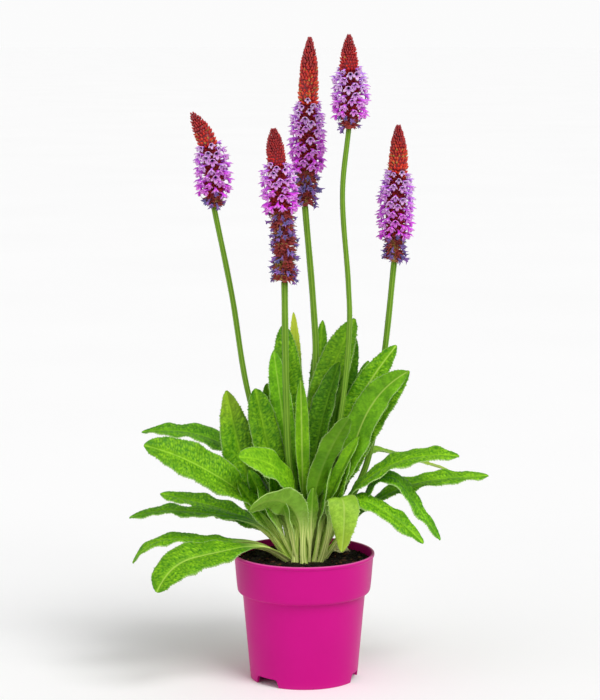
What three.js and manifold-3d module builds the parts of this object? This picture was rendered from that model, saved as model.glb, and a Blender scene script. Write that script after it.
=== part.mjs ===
// A potted orchid primrose: one rosette of long crinkled leaves and five flower spikes in a nursery pot.
// Millimetres, Z up, origin at the centre of the pot's underside, the viewer's side towards -Y.
import * as THREE from "three";
import { mergeVertices } from "three/addons/utils/BufferGeometryUtils.js";
import Module from "manifold-3d";

const wasm = await Module();
wasm.setup();

// Driving dimensions of the pot
const POT_HEIGHT = 108;
const RIM_RADIUS = 60;
const COLLAR_RADIUS = 59;
const COLLAR_FOOT_RADIUS = 57;
const COLLAR_FOOT_HEIGHT = 81;
const BODY_TOP_RADIUS = 52.1;
const BODY_TOP_HEIGHT = 74;
const FOOT_RADIUS = 45.6;
const POT_WALL = 1.3;
const POT_SEGMENTS = 28;
const RAISED_FLOOR = 8;
const CENTRE_PAD_RADIUS = 25;
const NOTCH_ANGLES = [-44, 76, 196];
const NOTCH_HEIGHT = 7;
const NOTCH_WIDTH = 22;
const NOTCH_FLARE = 2;
const NOTCH_CORNER = 2;
const NOTCH_DEPTH = 12;
const DRAIN_RADIUS = 4;
const DRAIN_RING = 36;
const DRAIN_DEPTH = 6;
const LIP_HEIGHT = 2;
const LIP_ROUNDING = 0.5;
const CHAMFER_BULGE = 2.6;
const FOOT_RING_WIDTH = 1.6;

// Driving dimensions of the soil and the root crown
const CLEARANCE = 0.3;
const SOIL_HEIGHT = 102;
const SOIL_SEGMENTS = 28;
const SOIL_RELIEF = 1.3;
const SOIL_RINGS = [48, 36];
const SOIL_WALL_GAP = 0.9;
const HOLE_MARGIN = 0.5;
const CROWN_RADIUS = 20;
const CROWN_RISE = 4;
const CROWN_DEPTH = 12;
const CROWN_SEGMENTS = 16;
const CROWN_RINGS = [17, 12, 6, 0];

// Driving dimensions of a leaf
const STATION_STEP = 15.5;
const EDGE_THICKNESS = 0.7;
const RIB_THICKNESS = 1.3;
const PETIOLE_THICKNESS = 2.4;
const PETIOLE_WIDTH = 0.18;
const PETIOLE_FLARE = 0.08;
const PETIOLE_FOLD = 28;
const PETIOLE_END = 0.15;
const BLADE_FULL = 0.62;
const TIP_START = 0.66;
const LEAF_ROOT_DEPTH = 3.5;
const TOOTH_DEPTH = 0.06;
const EDGE_WAVE = 0.9;
const WITHERED_GAP = 0.5;

// Driving dimensions of the flower spikes
const STEM_STEPS = 9;
const STEM_CURVE_SEGMENTS = 4;
const CORE_SIDES = 6;
const FLOWER_CORE_RADIUS = 6;
const FLORET_REACH = 9.5;
const FLORET_MOUTH = 5;
const FLORET_NOTCH = 3;
const FLORET_LOBES = 4;
const THROAT_DEPTH = 2.2;
const TOP_ROW_LIFT = 1;
const BOTTOM_ROW_DIP = 4;
const FLORET_ROW = 10.2;
const FLORETS_ROUND = 6;
const BUD_ROW = 8;
const BUDS_ROUND = 5;
const BUD_TIP_LIFT = 4.2;
const BUD_LARGEST = 3;
const FADED_ROW = 10;
const FADED_ROUND = 5;
const FADED_ROOT_RADIUS = 3.6;
const FADED_SIZE = 2.8;
const FADED_CORE_RADII = [2.4, 4.2, 5.2];
const ROOT_DEPTH = 2.6;

// Finishes
const COLOURS = {
  pot: { color: 0xc8188a, roughness: 0.38, metalness: 0 },
  soil: { color: 0x2b1a12, roughness: 1, metalness: 0 },
  crown: { color: 0x9aa55e, roughness: 0.8, metalness: 0 },
  bright: { color: 0x68b022, roughness: 0.6, metalness: 0 },
  deep: { color: 0x3f861c, roughness: 0.62, metalness: 0 },
  pale: { color: 0x93bf4c, roughness: 0.62, metalness: 0 },
  withered: { color: 0xd9c48c, roughness: 0.9, metalness: 0 },
  stem: { color: 0x5f9a30, roughness: 0.6, metalness: 0 },
  bud: { color: 0xb81440, roughness: 0.6, metalness: 0 },
  flower: { color: 0xb76bc4, roughness: 0.6, metalness: 0 },
  faded: { color: 0x9c4a34, roughness: 0.8, metalness: 0 },
};

// Each leaf: seat is where it leaves the crown, seen from above, and heading the way it points.
// It starts at the rise angle and bends down by droop, centred at droopAt over a share of its length.
// nod bends it again near the tip. Angles are in degrees, length and width in millimetres.
const LEAVES = [
  { name: "left_1", seat: [-9, 8], heading: 160, rise: 76, droop: 86, droopAt: 0.52, over: 1.1,
    length: 193, width: 30, fold: 8, roll: -14, tone: "deep" },
  { name: "left_2", seat: [-12, -5], heading: 192, rise: 65, droop: 34, droopAt: 0.32, over: 0.7,
    nod: 14, length: 165, width: 36, fold: 10, roll: -52, tone: "bright" },
  { name: "left_3", seat: [-13, 7], heading: 155, rise: 45, droop: 38, droopAt: 0.32, over: 0.8,
    length: 134, width: 28, fold: 8, roll: -12, tone: "bright" },
  { name: "left_4", seat: [-16, 1], heading: 178, rise: 64, droop: 58, droopAt: 0.22, over: 0.5,
    nod: 24, length: 148, width: 26, fold: 4, roll: -8, tone: "deep" },
  { name: "left_5", seat: [-13, 12], heading: 142, rise: 47, droop: 40, droopAt: 0.3, over: 0.7,
    nod: 6, length: 91, width: 26, fold: 8, roll: -12, tone: "deep" },
  { name: "left_6", seat: [-18, -3], heading: 183, rise: 41, droop: 38, droopAt: 0.16, over: 0.34,
    nod: 58, length: 139, width: 27, fold: 3, roll: -6, tone: "bright" },
  { name: "left_7", seat: [-14, -11], heading: 210, rise: 45, droop: 50, droopAt: 0.18, over: 0.5,
    nod: 56, length: 138, width: 36, fold: 4, roll: -26, tone: "bright" },
  { name: "left_8", seat: [-11, 1], heading: 170, rise: 54, droop: -24, droopAt: 0.4, over: 0.9,
    length: 152, width: 32, fold: 12, roll: -70, tone: "bright" },
  { name: "middle_1", seat: [-6, 0], heading: 172, rise: 74, droop: -4, droopAt: 0.5, over: 1,
    length: 146, width: 26, fold: 12, roll: -70, tone: "bright" },
  { name: "middle_2", seat: [-3, 7], heading: 118, rise: 81,
    length: 195, width: 27, fold: 10, roll: -25, tone: "bright" },
  { name: "middle_3", seat: [-2, 3], heading: 150, rise: 81,
    length: 174, width: 20, fold: 16, roll: -52, tone: "deep" },
  { name: "middle_4", seat: [-6, 12], heading: 136, rise: 76,
    length: 147, width: 22, fold: 12, roll: -35, tone: "bright" },
  { name: "middle_5", seat: [-1, 14], heading: 98, rise: 74,
    length: 208, width: 12, fold: 24, roll: 0, tone: "pale" },
  { name: "middle_6", seat: [0, -8], heading: 180, rise: 89,
    length: 151, width: 14, fold: 30, roll: -80, tone: "bright" },
  { name: "middle_7", seat: [3, 13], heading: 64, rise: 83, droop: 4, droopAt: 0.6, over: 0.9,
    length: 199, width: 16, fold: 14, roll: 30, tone: "bright" },
  { name: "middle_8", seat: [8, 7], heading: 16, rise: 87, droop: 26, droopAt: 0.72, over: 0.7,
    length: 206, width: 30, fold: 10, roll: 62, tone: "bright" },
  { name: "middle_9", seat: [2, 0], heading: 5, rise: 86, droop: 14, droopAt: 0.6, over: 0.8,
    length: 167, width: 26, fold: 36, roll: 60, tone: "deep" },
  { name: "middle_10", seat: [9, -1], heading: 0, rise: 84, droop: 8, droopAt: 0.6, over: 1,
    length: 157, width: 13, fold: 10, roll: 80, tone: "deep" },
  { name: "middle_11", seat: [12, 9], heading: 34, rise: 79, droop: 2, droopAt: 0.5, over: 1,
    length: 187, width: 17, fold: 14, roll: 55, tone: "deep" },
  { name: "middle_12", seat: [6, 16], heading: 40, rise: 70, droop: 4, droopAt: 0.5, over: 1,
    length: 173, width: 18, fold: 14, roll: 30, tone: "bright" },
  { name: "right_1", seat: [16, 6], heading: 15, rise: 83, droop: 34, droopAt: 0.62, over: 0.9,
    length: 194, width: 24, fold: 12, roll: 60, tone: "bright" },
  { name: "right_2", seat: [11, -6], heading: 350, rise: 72, droop: 50, droopAt: 0.86, over: 0.6,
    length: 182, width: 28, fold: 14, roll: 72, tone: "deep" },
  { name: "right_3", seat: [15, 1], heading: 2, rise: 73, droop: 26, droopAt: 0.7, over: 0.8,
    length: 177, width: 24, fold: 12, roll: 65, tone: "bright" },
  { name: "right_4", seat: [1, -13], heading: 332, rise: 83, droop: 28, droopAt: 0.6, over: 0.9,
    length: 133, width: 21, fold: 8, roll: -36, tone: "bright" },
  { name: "right_5", seat: [8, -10], heading: 350, rise: 78, droop: 16, droopAt: 0.5, over: 1,
    length: 113, width: 15, fold: 30, roll: 55, tone: "bright" },
  { name: "right_6", seat: [14, -3], heading: 351, rise: 74, droop: 70, droopAt: 0.5, over: 1.1,
    nod: 8, length: 163, width: 32, fold: 6, roll: 16, tone: "bright" },
  { name: "right_7", seat: [18, 2], heading: 8, rise: 58, droop: 56, droopAt: 0.42, over: 0.9,
    length: 166, width: 28, fold: 6, roll: 14, tone: "bright" },
  { name: "right_8", seat: [17, -2], heading: 354, rise: 57, droop: 112, droopAt: 0.56, over: 0.22,
    length: 163, width: 24, fold: 3, roll: 16, tone: "deep" },
  { name: "right_9", seat: [16, -6], heading: 340, rise: 80, droop: 108, droopAt: 0.42, over: 0.5,
    nod: 14, length: 136, width: 24, fold: 3, roll: 16, tone: "bright" },
  { name: "right_10", seat: [10, 13], heading: 34, rise: 67, droop: 86, droopAt: 0.48, over: 0.4,
    length: 196, width: 14, fold: 12, roll: 10, tone: "pale" },
  { name: "front_1", seat: [-8, -15], heading: 212, rise: 95, droop: 88, droopAt: 0.6, over: 0.9,
    length: 127, width: 30, fold: 3, roll: -50, tone: "bright" },
  { name: "front_2", seat: [-1, -18], heading: 218, rise: 89, droop: 110, droopAt: 0.58, over: 0.9,
    length: 99, width: 24, fold: 3, roll: 28, tone: "pale" },
  { name: "front_3", seat: [14, -12], heading: 335, rise: 75, sweep: -90, droop: 150, droopAt: 0.57, over: 0.3,
    length: 113, width: 27, fold: 3, roll: 0, tone: "pale" },
  { name: "back_1", seat: [-6, 16], heading: 108, rise: 50, droop: 80, droopAt: 0.5, over: 1,
    length: 150, width: 34, fold: 8, roll: 0, tone: "bright" },
  { name: "back_2", seat: [0, 18], heading: 76, rise: 56, droop: 84, droopAt: 0.5, over: 1,
    length: 155, width: 34, fold: 8, roll: 0, tone: "deep" },
  { name: "back_3", seat: [9, 16], heading: 58, rise: 42, droop: 60, droopAt: 0.5, over: 1,
    length: 110, width: 28, fold: 8, roll: 0, tone: "bright" },
];

// Each spike: its stem's radius and route up from the crown, then the axis of its flower head, whose
// faded part starts at the head's first point. The heights part it into faded, open and unopened.
const SPIKES = [
  { stemRadius: 2.2, stem: [[-4, 6, 104], [-27, 16, 172], [-48, 22, 244], [-61, 27, 324], [-76, 33, 398]],
    head: [[-76, 33, 398], [-76, 34, 421], [-78, 35, 440], [-83, 36, 456], [-94, 37, 477]],
    flowersFrom: 408, budsFrom: 450, fadedReach: 4, budRadius: 8 },
  { stemRadius: 2.9, stem: [[-4, -5, 104], [-9, -2, 158], [-13, -5, 191], [-15, -12, 256], [-16, -19, 340]],
    head: [[-16, -19, 340], [-16, -20, 360], [-18, -20, 389], [-20, -20, 412], [-25, -20, 467]],
    flowersFrom: 398, budsFrom: 437, fadedReach: 6, budRadius: 7.5 },
  { stemRadius: 2.6, stem: [[1, 9, 104], [5, 17, 190], [10, 21, 273], [8, 24, 316], [1, 29, 399]],
    head: [[1, 29, 399], [3, 29, 434], [3, 30, 472], [4, 31, 505], [5, 32, 541]],
    flowersFrom: 428, budsFrom: 486, fadedReach: 4, budRadius: 8.2 },
  { stemRadius: 2.2, stem: [[5, -4, 104], [30, -8, 220], [38, -8, 301], [37, -8, 338], [32, -8, 413], [37, -8, 466]],
    head: [[37, -8, 466], [38, -8, 488], [38, -8, 506], [37, -8, 520], [37, -8, 543]],
    flowersFrom: 475, budsFrom: 515, fadedReach: 3, budRadius: 7.5 },
  { stemRadius: 2.5, stem: [[14, 11, 104], [36, 20, 142], [54, 27, 180], [69, 38, 274], [77, 45, 350]],
    head: [[77, 45, 350], [78, 46, 375], [78, 46, 400], [80, 46, 430], [80, 46, 467]],
    flowersFrom: 371, budsFrom: 427, fadedReach: 4, budRadius: 8 },
];

const group = new THREE.Group();
group.name = "potted_orchid_primrose";

// Small helpers

function radians(degrees) {
  return (degrees * Math.PI) / 180;
}

function smooth(value) {
  const x = Math.min(Math.max(value, 0), 1);
  return x * x * (3 - 2 * x);
}

function seededRandom(seed) {
  let state = seed;
  return () => {
    state = (state * 1664525 + 1013904223) % 4294967296;
    return state / 4294967296;
  };
}

function toSolid(geometry) {
  const plain = geometry.clone();
  plain.deleteAttribute("normal");
  plain.deleteAttribute("uv");
  const merged = mergeVertices(plain, 1e-4);
  return new wasm.Manifold(new wasm.Mesh({
    numProp: 3,
    vertProperties: Float32Array.from(merged.attributes.position.array),
    triVerts: Uint32Array.from(merged.index.array),
  }));
}

function toGeometry(solid) {
  const mesh = solid.getMesh();
  const geometry = new THREE.BufferGeometry();
  geometry.setAttribute("position", new THREE.BufferAttribute(mesh.vertProperties, 3));
  geometry.setIndex(new THREE.BufferAttribute(mesh.triVerts, 1));
  geometry.computeVertexNormals();
  return geometry;
}

function place(name, geometry, finish) {
  const mesh = new THREE.Mesh(geometry, new THREE.MeshStandardMaterial(COLOURS[finish]));
  mesh.name = name;
  group.add(mesh);
}

function lathe(profile, segments) {
  const points = profile.map(([radius, height]) => new THREE.Vector2(radius, height));
  const geometry = new THREE.LatheGeometry(points, segments);
  geometry.rotateX(Math.PI / 2);
  return geometry;
}

// A closed skin over a row of sections, each the same loop of points, with a flat fan on each end
function skin(sections, crossed) {
  const count = sections[0].length;
  const positions = sections.flat().flatMap((point) => [point.x, point.y, point.z]);
  const faces = [];
  for (let row = 0; row + 1 < sections.length; row += 1) {
    for (let side = 0; side < count; side += 1) {
      const next = (side + 1) % count;
      const a = row * count + side;
      const b = row * count + next;
      const c = a + count;
      const d = b + count;
      if (crossed.includes(side)) {
        faces.push(a, b, c, b, d, c);
      } else {
        faces.push(a, b, d, a, d, c);
      }
    }
  }
  const last = (sections.length - 1) * count;
  for (let side = 1; side + 1 < count; side += 1) {
    faces.push(0, side + 1, side);
    faces.push(last, last + side, last + side + 1);
  }
  const geometry = new THREE.BufferGeometry();
  geometry.setAttribute("position", new THREE.Float32BufferAttribute(positions, 3));
  geometry.setIndex(faces);
  return geometry;
}

// The pot: a stepped nursery pot with a collar, a raised ring floor, three foot notches and drains

function potInnerProfile(gap) {
  return [
    [CENTRE_PAD_RADIUS - POT_WALL - gap, POT_WALL + gap],
    [CENTRE_PAD_RADIUS + 1 - gap, RAISED_FLOOR + POT_WALL + gap],
    [FOOT_RADIUS - POT_WALL - gap, RAISED_FLOOR + POT_WALL + gap],
    [BODY_TOP_RADIUS - POT_WALL - gap, BODY_TOP_HEIGHT + 1],
    [COLLAR_FOOT_RADIUS - POT_WALL - gap - 1, COLLAR_FOOT_HEIGHT - 1],
    [COLLAR_FOOT_RADIUS - POT_WALL - gap, COLLAR_FOOT_HEIGHT + 2],
  ];
}

function notchSolid(angle) {
  const half = NOTCH_WIDTH / 2;
  const outline = new THREE.Shape();
  outline.moveTo(-half - NOTCH_FLARE, -1);
  outline.lineTo(half + NOTCH_FLARE, -1);
  outline.lineTo(half, NOTCH_HEIGHT - 1);
  outline.lineTo(half - NOTCH_CORNER, NOTCH_HEIGHT);
  outline.lineTo(-half + NOTCH_CORNER, NOTCH_HEIGHT);
  outline.lineTo(-half, NOTCH_HEIGHT - 1);
  const geometry = new THREE.ExtrudeGeometry(outline, { depth: NOTCH_DEPTH, bevelEnabled: false });
  geometry.translate(0, 0, FOOT_RADIUS - NOTCH_DEPTH / 2);
  geometry.rotateX(Math.PI / 2);
  geometry.rotateZ(radians(angle));
  return toSolid(geometry);
}

function drainSolid(angle) {
  const geometry = new THREE.CylinderGeometry(DRAIN_RADIUS, DRAIN_RADIUS, DRAIN_DEPTH, 10);
  geometry.rotateX(Math.PI / 2);
  geometry.translate(0, -DRAIN_RING, RAISED_FLOOR + 1);
  geometry.rotateZ(radians(angle));
  return toSolid(geometry);
}

function buildPot() {
  const outside = [
    [0, 0],
    [CENTRE_PAD_RADIUS, 0],
    [CENTRE_PAD_RADIUS + 2.2, RAISED_FLOOR],
    [FOOT_RADIUS - POT_WALL - FOOT_RING_WIDTH, RAISED_FLOOR],
    [FOOT_RADIUS - FOOT_RING_WIDTH - 0.6, 0],
    [FOOT_RADIUS - 0.4, 0],
    [FOOT_RADIUS, 1],
    [BODY_TOP_RADIUS, BODY_TOP_HEIGHT],
    [BODY_TOP_RADIUS + CHAMFER_BULGE, BODY_TOP_HEIGHT + 1.4],
    [COLLAR_FOOT_RADIUS - 0.5, COLLAR_FOOT_HEIGHT - 3.4],
    [COLLAR_FOOT_RADIUS, COLLAR_FOOT_HEIGHT],
    [COLLAR_RADIUS, POT_HEIGHT - LIP_HEIGHT - 0.8],
    [RIM_RADIUS, POT_HEIGHT - LIP_HEIGHT],
    [RIM_RADIUS - LIP_ROUNDING, POT_HEIGHT],
    [COLLAR_RADIUS - POT_WALL, POT_HEIGHT],
  ];
  const inside = potInnerProfile(0).reverse();
  let pot = toSolid(lathe([...outside, ...inside, [0, POT_WALL]], POT_SEGMENTS));
  for (const angle of NOTCH_ANGLES) {
    pot = pot.subtract(notchSolid(angle));
    pot = pot.subtract(drainSolid(angle));
  }
  place("pot", toGeometry(pot), "pot");
}

// The soil: fills the pot, crumbly on top, with one plain hole for the crown

function buildSoil() {
  const draw = seededRandom(31);
  const hole = CROWN_RADIUS + CLEARANCE + HOLE_MARGIN;
  const wallRadius = COLLAR_RADIUS - POT_WALL - SOIL_WALL_GAP;
  const holeFloor = SOIL_HEIGHT - CROWN_DEPTH - CLEARANCE;
  const profile = [
    [0, POT_WALL + CLEARANCE],
    ...potInnerProfile(CLEARANCE),
    [wallRadius, SOIL_HEIGHT - 1],
    ...SOIL_RINGS.map((radius) => [radius, SOIL_HEIGHT]),
    [hole + 3, SOIL_HEIGHT],
    [hole, SOIL_HEIGHT - 1],
    [hole, holeFloor],
    [0, holeFloor],
  ];
  const geometry = mergeVertices(lathe(profile, SOIL_SEGMENTS), 1e-3);
  geometry.deleteAttribute("normal");
  geometry.deleteAttribute("uv");
  const merged = mergeVertices(geometry, 1e-3);
  const positions = merged.attributes.position;
  for (let index = 0; index < positions.count; index += 1) {
    if (positions.getZ(index) > SOIL_HEIGHT - 0.5) {
      positions.setZ(index, SOIL_HEIGHT + (draw() * 2 - 1) * SOIL_RELIEF);
    }
  }
  merged.computeVertexNormals();
  place("soil", merged, "soil");
}

// The root crown: the low dome that every leaf and stem grows from

function crownHeight(radius) {
  return SOIL_HEIGHT + CROWN_RISE * (1 - (radius / CROWN_RADIUS) ** 2);
}

function crownGeometry(gap) {
  const profile = [
    [0, SOIL_HEIGHT - CROWN_DEPTH - gap],
    [CROWN_RADIUS - 1 + gap, SOIL_HEIGHT - CROWN_DEPTH - gap],
    [CROWN_RADIUS + gap, SOIL_HEIGHT - CROWN_DEPTH + 3],
    [CROWN_RADIUS + gap, SOIL_HEIGHT - 1],
    ...CROWN_RINGS.map((radius) => [radius, crownHeight(radius) + gap]),
  ];
  return lathe(profile, CROWN_SEGMENTS);
}

const crownHollow = toSolid(crownGeometry(CLEARANCE));

function buildCrown() {
  place("crown", toGeometry(toSolid(crownGeometry(0))), "crown");
}

// Leaves

function leafPitch(leaf, t) {
  const bend = smooth((t - (leaf.droopAt ?? 0.5)) / (leaf.over ?? 1) + 0.5);
  const nod = smooth((t - (leaf.nodAt ?? 0.62)) / (leaf.nodOver ?? 0.4));
  return radians(leaf.rise - (leaf.droop ?? 0) * bend - (leaf.nod ?? 0) * nod);
}

function leafHeading(leaf, t) {
  return radians(leaf.heading + (leaf.sweep ?? 0) * smooth((t - 0.2) / 0.8));
}

function leafDirection(leaf, t) {
  const pitch = leafPitch(leaf, t);
  const heading = leafHeading(leaf, t);
  const level = Math.cos(pitch);
  return new THREE.Vector3(level * Math.cos(heading), level * Math.sin(heading), Math.sin(pitch));
}

// The midrib as evenly spaced points, found by walking along the leaf's own direction
function leafMidrib(leaf, count) {
  const [seatX, seatY] = leaf.seat;
  const steps = 8;
  const start = new THREE.Vector3(seatX, seatY, crownHeight(Math.hypot(seatX, seatY)));
  const points = [start.clone()];
  const walker = start.clone();
  for (let station = 0; station < count; station += 1) {
    for (let step = 0; step < steps; step += 1) {
      const t = (station + (step + 0.5) / steps) / count;
      walker.addScaledVector(leafDirection(leaf, t), leaf.length / count / steps);
    }
    points.push(walker.clone());
  }
  return points;
}

function leafHalfWidth(leaf, t) {
  const petiole = PETIOLE_WIDTH + PETIOLE_FLARE * Math.max(1 - t / 0.1, 0) ** 2;
  const blade = petiole + (1 - petiole) * smooth((t - PETIOLE_END) / (BLADE_FULL - PETIOLE_END));
  const tip = Math.max((t - TIP_START) / (1 - TIP_START), 0);
  const end = Math.max(1 - tip ** 2.6, 0.04) ** 0.62;
  return (leaf.width / 2) * blade * end;
}

function leafSection(leaf, t, centre, jag, wave, grown) {
  const heading = leafHeading(leaf, t);
  const direction = leafDirection(leaf, t);
  const side = new THREE.Vector3(-Math.sin(heading), Math.cos(heading), 0);
  const up = new THREE.Vector3().crossVectors(direction, side).normalize();
  const roll = radians((leaf.roll ?? 0) * smooth((t - 0.12) / 0.5));
  side.applyAxisAngle(direction, roll);
  up.applyAxisAngle(direction, roll);
  const half = leafHalfWidth(leaf, t) * jag + grown;
  const fold = radians(leaf.fold + (PETIOLE_FOLD - leaf.fold) * (1 - smooth(t / 0.35)));
  const out = half * Math.cos(fold);
  const lift = half * Math.sin(fold);
  const rib = RIB_THICKNESS + (PETIOLE_THICKNESS - RIB_THICKNESS) * (1 - smooth(t / 0.6));
  const point = (across, height) => centre.clone().addScaledVector(side, across).addScaledVector(up, height);
  return [
    point(out, lift - wave + grown),
    point(0, grown),
    point(-out, lift + wave + grown),
    point(-out, lift + wave - EDGE_THICKNESS - grown),
    point(0, -rib - grown),
    point(out, lift - wave - EDGE_THICKNESS - grown),
  ];
}

function leafSolid(leaf, seed, grown) {
  const draw = seededRandom(seed);
  const count = Math.round(leaf.length / STATION_STEP);
  const midrib = leafMidrib(leaf, count);
  const root = midrib[0].clone().addScaledVector(leafDirection(leaf, 0), -LEAF_ROOT_DEPTH);
  const sections = [leafSection(leaf, 0, root, 1, 0, grown)];
  for (let station = 1; station <= count; station += 1) {
    const t = station / count;
    const blade = smooth((t - 0.3) / 0.3) * (1 - smooth((t - 0.85) / 0.15));
    const jag = 1 + TOOTH_DEPTH * blade * (station % 2 ? 1 : -1);
    const wave = EDGE_WAVE * blade * (draw() * 2 - 1);
    sections.push(leafSection(leaf, t, midrib[station], jag, wave, grown));
  }
  return toSolid(skin(sections, [0, 1]));
}

function largestBody(solid) {
  return solid.decompose().reduce((best, body) => (body.volume() > best.volume() ? body : best));
}

// Leaf stalks crowd on the crown: each is pressed in where an earlier neighbour already stands
function buildLeaves() {
  const neighbours = SPIKES.map((spike) => stemSolid(spike, CLEARANCE));
  LEAVES.forEach((leaf, index) => {
    const seed = 100 + index;
    let solid = leafSolid(leaf, seed, 0).subtract(crownHollow);
    for (const neighbour of neighbours) {
      solid = solid.subtract(neighbour);
    }
    place(`leaf_${leaf.name}`, toGeometry(largestBody(solid)), leaf.tone);
    neighbours.push(leafSolid(leaf, seed, CLEARANCE));
  });
}

// A scrap of withered leaf that lies on the soil beside the crown

function buildWithered() {
  const places = [[18, 20], [24, 17], [29, 19], [34, 16], [39, 18]];
  const halves = [2, 4.5, 3.6, 5, 1.5];
  const sections = places.map(([x, y], index) => {
    const half = halves[index];
    const height = SOIL_HEIGHT + SOIL_RELIEF + WITHERED_GAP + (index % 2);
    return [
      new THREE.Vector3(x, y + half, height + 1),
      new THREE.Vector3(x, y, height),
      new THREE.Vector3(x, y - half, height + 0.6),
      new THREE.Vector3(x, y - half, height - 0.3),
      new THREE.Vector3(x, y, height - 1),
      new THREE.Vector3(x, y + half, height + 0.1),
    ];
  });
  place("withered_leaf", toGeometry(toSolid(skin(sections, [0, 1]))), "withered");
}

// Flower spikes

function curveThrough(points) {
  return new THREE.CatmullRomCurve3(points.map((point) => new THREE.Vector3(...point)));
}

function stemSolid(spike, grown) {
  const outline = new THREE.Shape();
  outline.absarc(0, 0, spike.stemRadius + grown, 0, Math.PI * 2);
  const geometry = new THREE.ExtrudeGeometry(outline, {
    steps: STEM_STEPS,
    curveSegments: STEM_CURVE_SEGMENTS,
    bevelEnabled: false,
    extrudePath: curveThrough(spike.stem),
  });
  return toSolid(geometry);
}

function buildStem(spike, number) {
  place(`stem_${number}`, toGeometry(stemSolid(spike, 0).subtract(crownHollow)), "stem");
}

// The place on a flower head's axis at a height, with the axis direction and two directions across it
function headFrame(curve, height) {
  let low = 0;
  let high = 1;
  for (let step = 0; step < 30; step += 1) {
    const middle = (low + high) / 2;
    if (curve.getPoint(middle).z < height) {
      low = middle;
    } else {
      high = middle;
    }
  }
  const along = curve.getTangent(low);
  const across = new THREE.Vector3(1, 0, 0).addScaledVector(along, -along.x).normalize();
  return { centre: curve.getPoint(low), along, across, depth: new THREE.Vector3().crossVectors(along, across) };
}

function headPoint(frame, angle, radius, lift) {
  return frame.centre.clone()
    .addScaledVector(frame.across, radius * Math.cos(angle))
    .addScaledVector(frame.depth, radius * Math.sin(angle))
    .addScaledVector(frame.along, lift);
}

function coreSolid(curve, heights, radii) {
  const sections = heights.map((height, index) => {
    const frame = headFrame(curve, height);
    return Array.from({ length: CORE_SIDES }, (_, side) => (
      headPoint(frame, (side / CORE_SIDES) * Math.PI * 2, radii[index], 0)
    ));
  });
  return toSolid(skin(sections, []));
}

// An open floret: a trumpet from deep in the core out to a lobed mouth with a hollow throat
function floretSolid(frame, angle, from, reach, dip) {
  const root = headPoint(frame, angle, from, 0);
  const mouth = headPoint(frame, angle, from + reach, -dip);
  const throat = headPoint(frame, angle, from + reach - THROAT_DEPTH, -dip * 0.8);
  const ahead = mouth.clone().sub(root).normalize();
  const across = new THREE.Vector3().crossVectors(ahead, frame.along).normalize();
  const above = new THREE.Vector3().crossVectors(across, ahead);
  const rimCount = FLORET_LOBES * 2;
  const rim = Array.from({ length: rimCount }, (_, index) => {
    const turn = (index / rimCount) * Math.PI * 2;
    const size = index % 2 ? FLORET_NOTCH : FLORET_MOUTH;
    return mouth.clone()
      .addScaledVector(across, size * Math.sin(turn))
      .addScaledVector(above, size * Math.cos(turn));
  });
  const points = [root, throat, ...rim];
  const faces = [];
  for (let index = 0; index < rimCount; index += 1) {
    const here = 2 + index;
    const next = 2 + ((index + 1) % rimCount);
    faces.push(0, here, next, 1, next, here);
  }
  return facedSolid(points, faces);
}

// A pointed calyx: three-sided, thick at its root in the core, its tip up or out
function calyxSolid(frame, angle, from, size, reach, lift) {
  const base = [0, 1, 2].map((corner) => {
    const turn = (corner / 3) * Math.PI * 2 + Math.PI;
    return headPoint(frame, angle + (size / from) * 0.9 * Math.sin(turn), from, size * Math.cos(turn) * 0.9);
  });
  const tip = headPoint(frame, angle, from + reach, lift);
  return facedSolid([...base, tip], [0, 1, 2, 0, 3, 1, 1, 3, 2, 2, 3, 0]);
}

function facedSolid(points, faces) {
  const geometry = new THREE.BufferGeometry();
  geometry.setAttribute("position", new THREE.Float32BufferAttribute(points.flatMap((p) => [p.x, p.y, p.z]), 3));
  geometry.setIndex(faces);
  const solid = toSolid(geometry);
  if (solid.volume() < 0) {
    geometry.setIndex(faces.map((_, index) => faces[index - (index % 3) + 2 - (index % 3)]));
    return toSolid(geometry);
  }
  return solid;
}

// Rows of repeats round a core, turned by half a step from row to row, all joined into one body
function ringedSolid(core, heights, round, make) {
  let solid = core;
  heights.forEach((height, row) => {
    for (let index = 0; index < round; index += 1) {
      const angle = ((index + (row % 2) / 2) / round) * Math.PI * 2;
      solid = solid.add(make(height, angle, row));
    }
  });
  return solid;
}

function rowHeights(from, to, step) {
  const count = Math.max(Math.round((to - from) / step), 1);
  return Array.from({ length: count }, (_, row) => from + ((row + 0.5) * (to - from)) / count);
}

// Keeps what lies between two heights on the head's axis, cut square to the axis at each
function trimmed(solid, curve, low, high) {
  let kept = solid;
  if (low !== null) {
    const frame = headFrame(curve, low);
    kept = kept.trimByPlane(frame.along.toArray(), frame.centre.dot(frame.along) + CLEARANCE / 2);
  }
  if (high !== null) {
    const frame = headFrame(curve, high);
    kept = kept.trimByPlane(
      frame.along.clone().negate().toArray(),
      -frame.centre.dot(frame.along) + CLEARANCE / 2,
    );
  }
  return kept;
}

function buildFaded(spike, curve, number) {
  const base = spike.head[0][2];
  const core = coreSolid(curve, [base + CLEARANCE * 2, base + 3, spike.flowersFrom + 1], FADED_CORE_RADII);
  const rows = rowHeights(base + 2.5, spike.flowersFrom - 2, FADED_ROW);
  const solid = ringedSolid(core, rows, FADED_ROUND, (height, angle) => {
    const frame = headFrame(curve, height);
    return calyxSolid(frame, angle, FADED_ROOT_RADIUS, FADED_SIZE, spike.fadedReach + 2, 1.5);
  });
  const kept = trimmed(solid, curve, null, spike.flowersFrom);
  place(`spike_${number}_faded`, toGeometry(kept), "faded");
}

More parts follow.
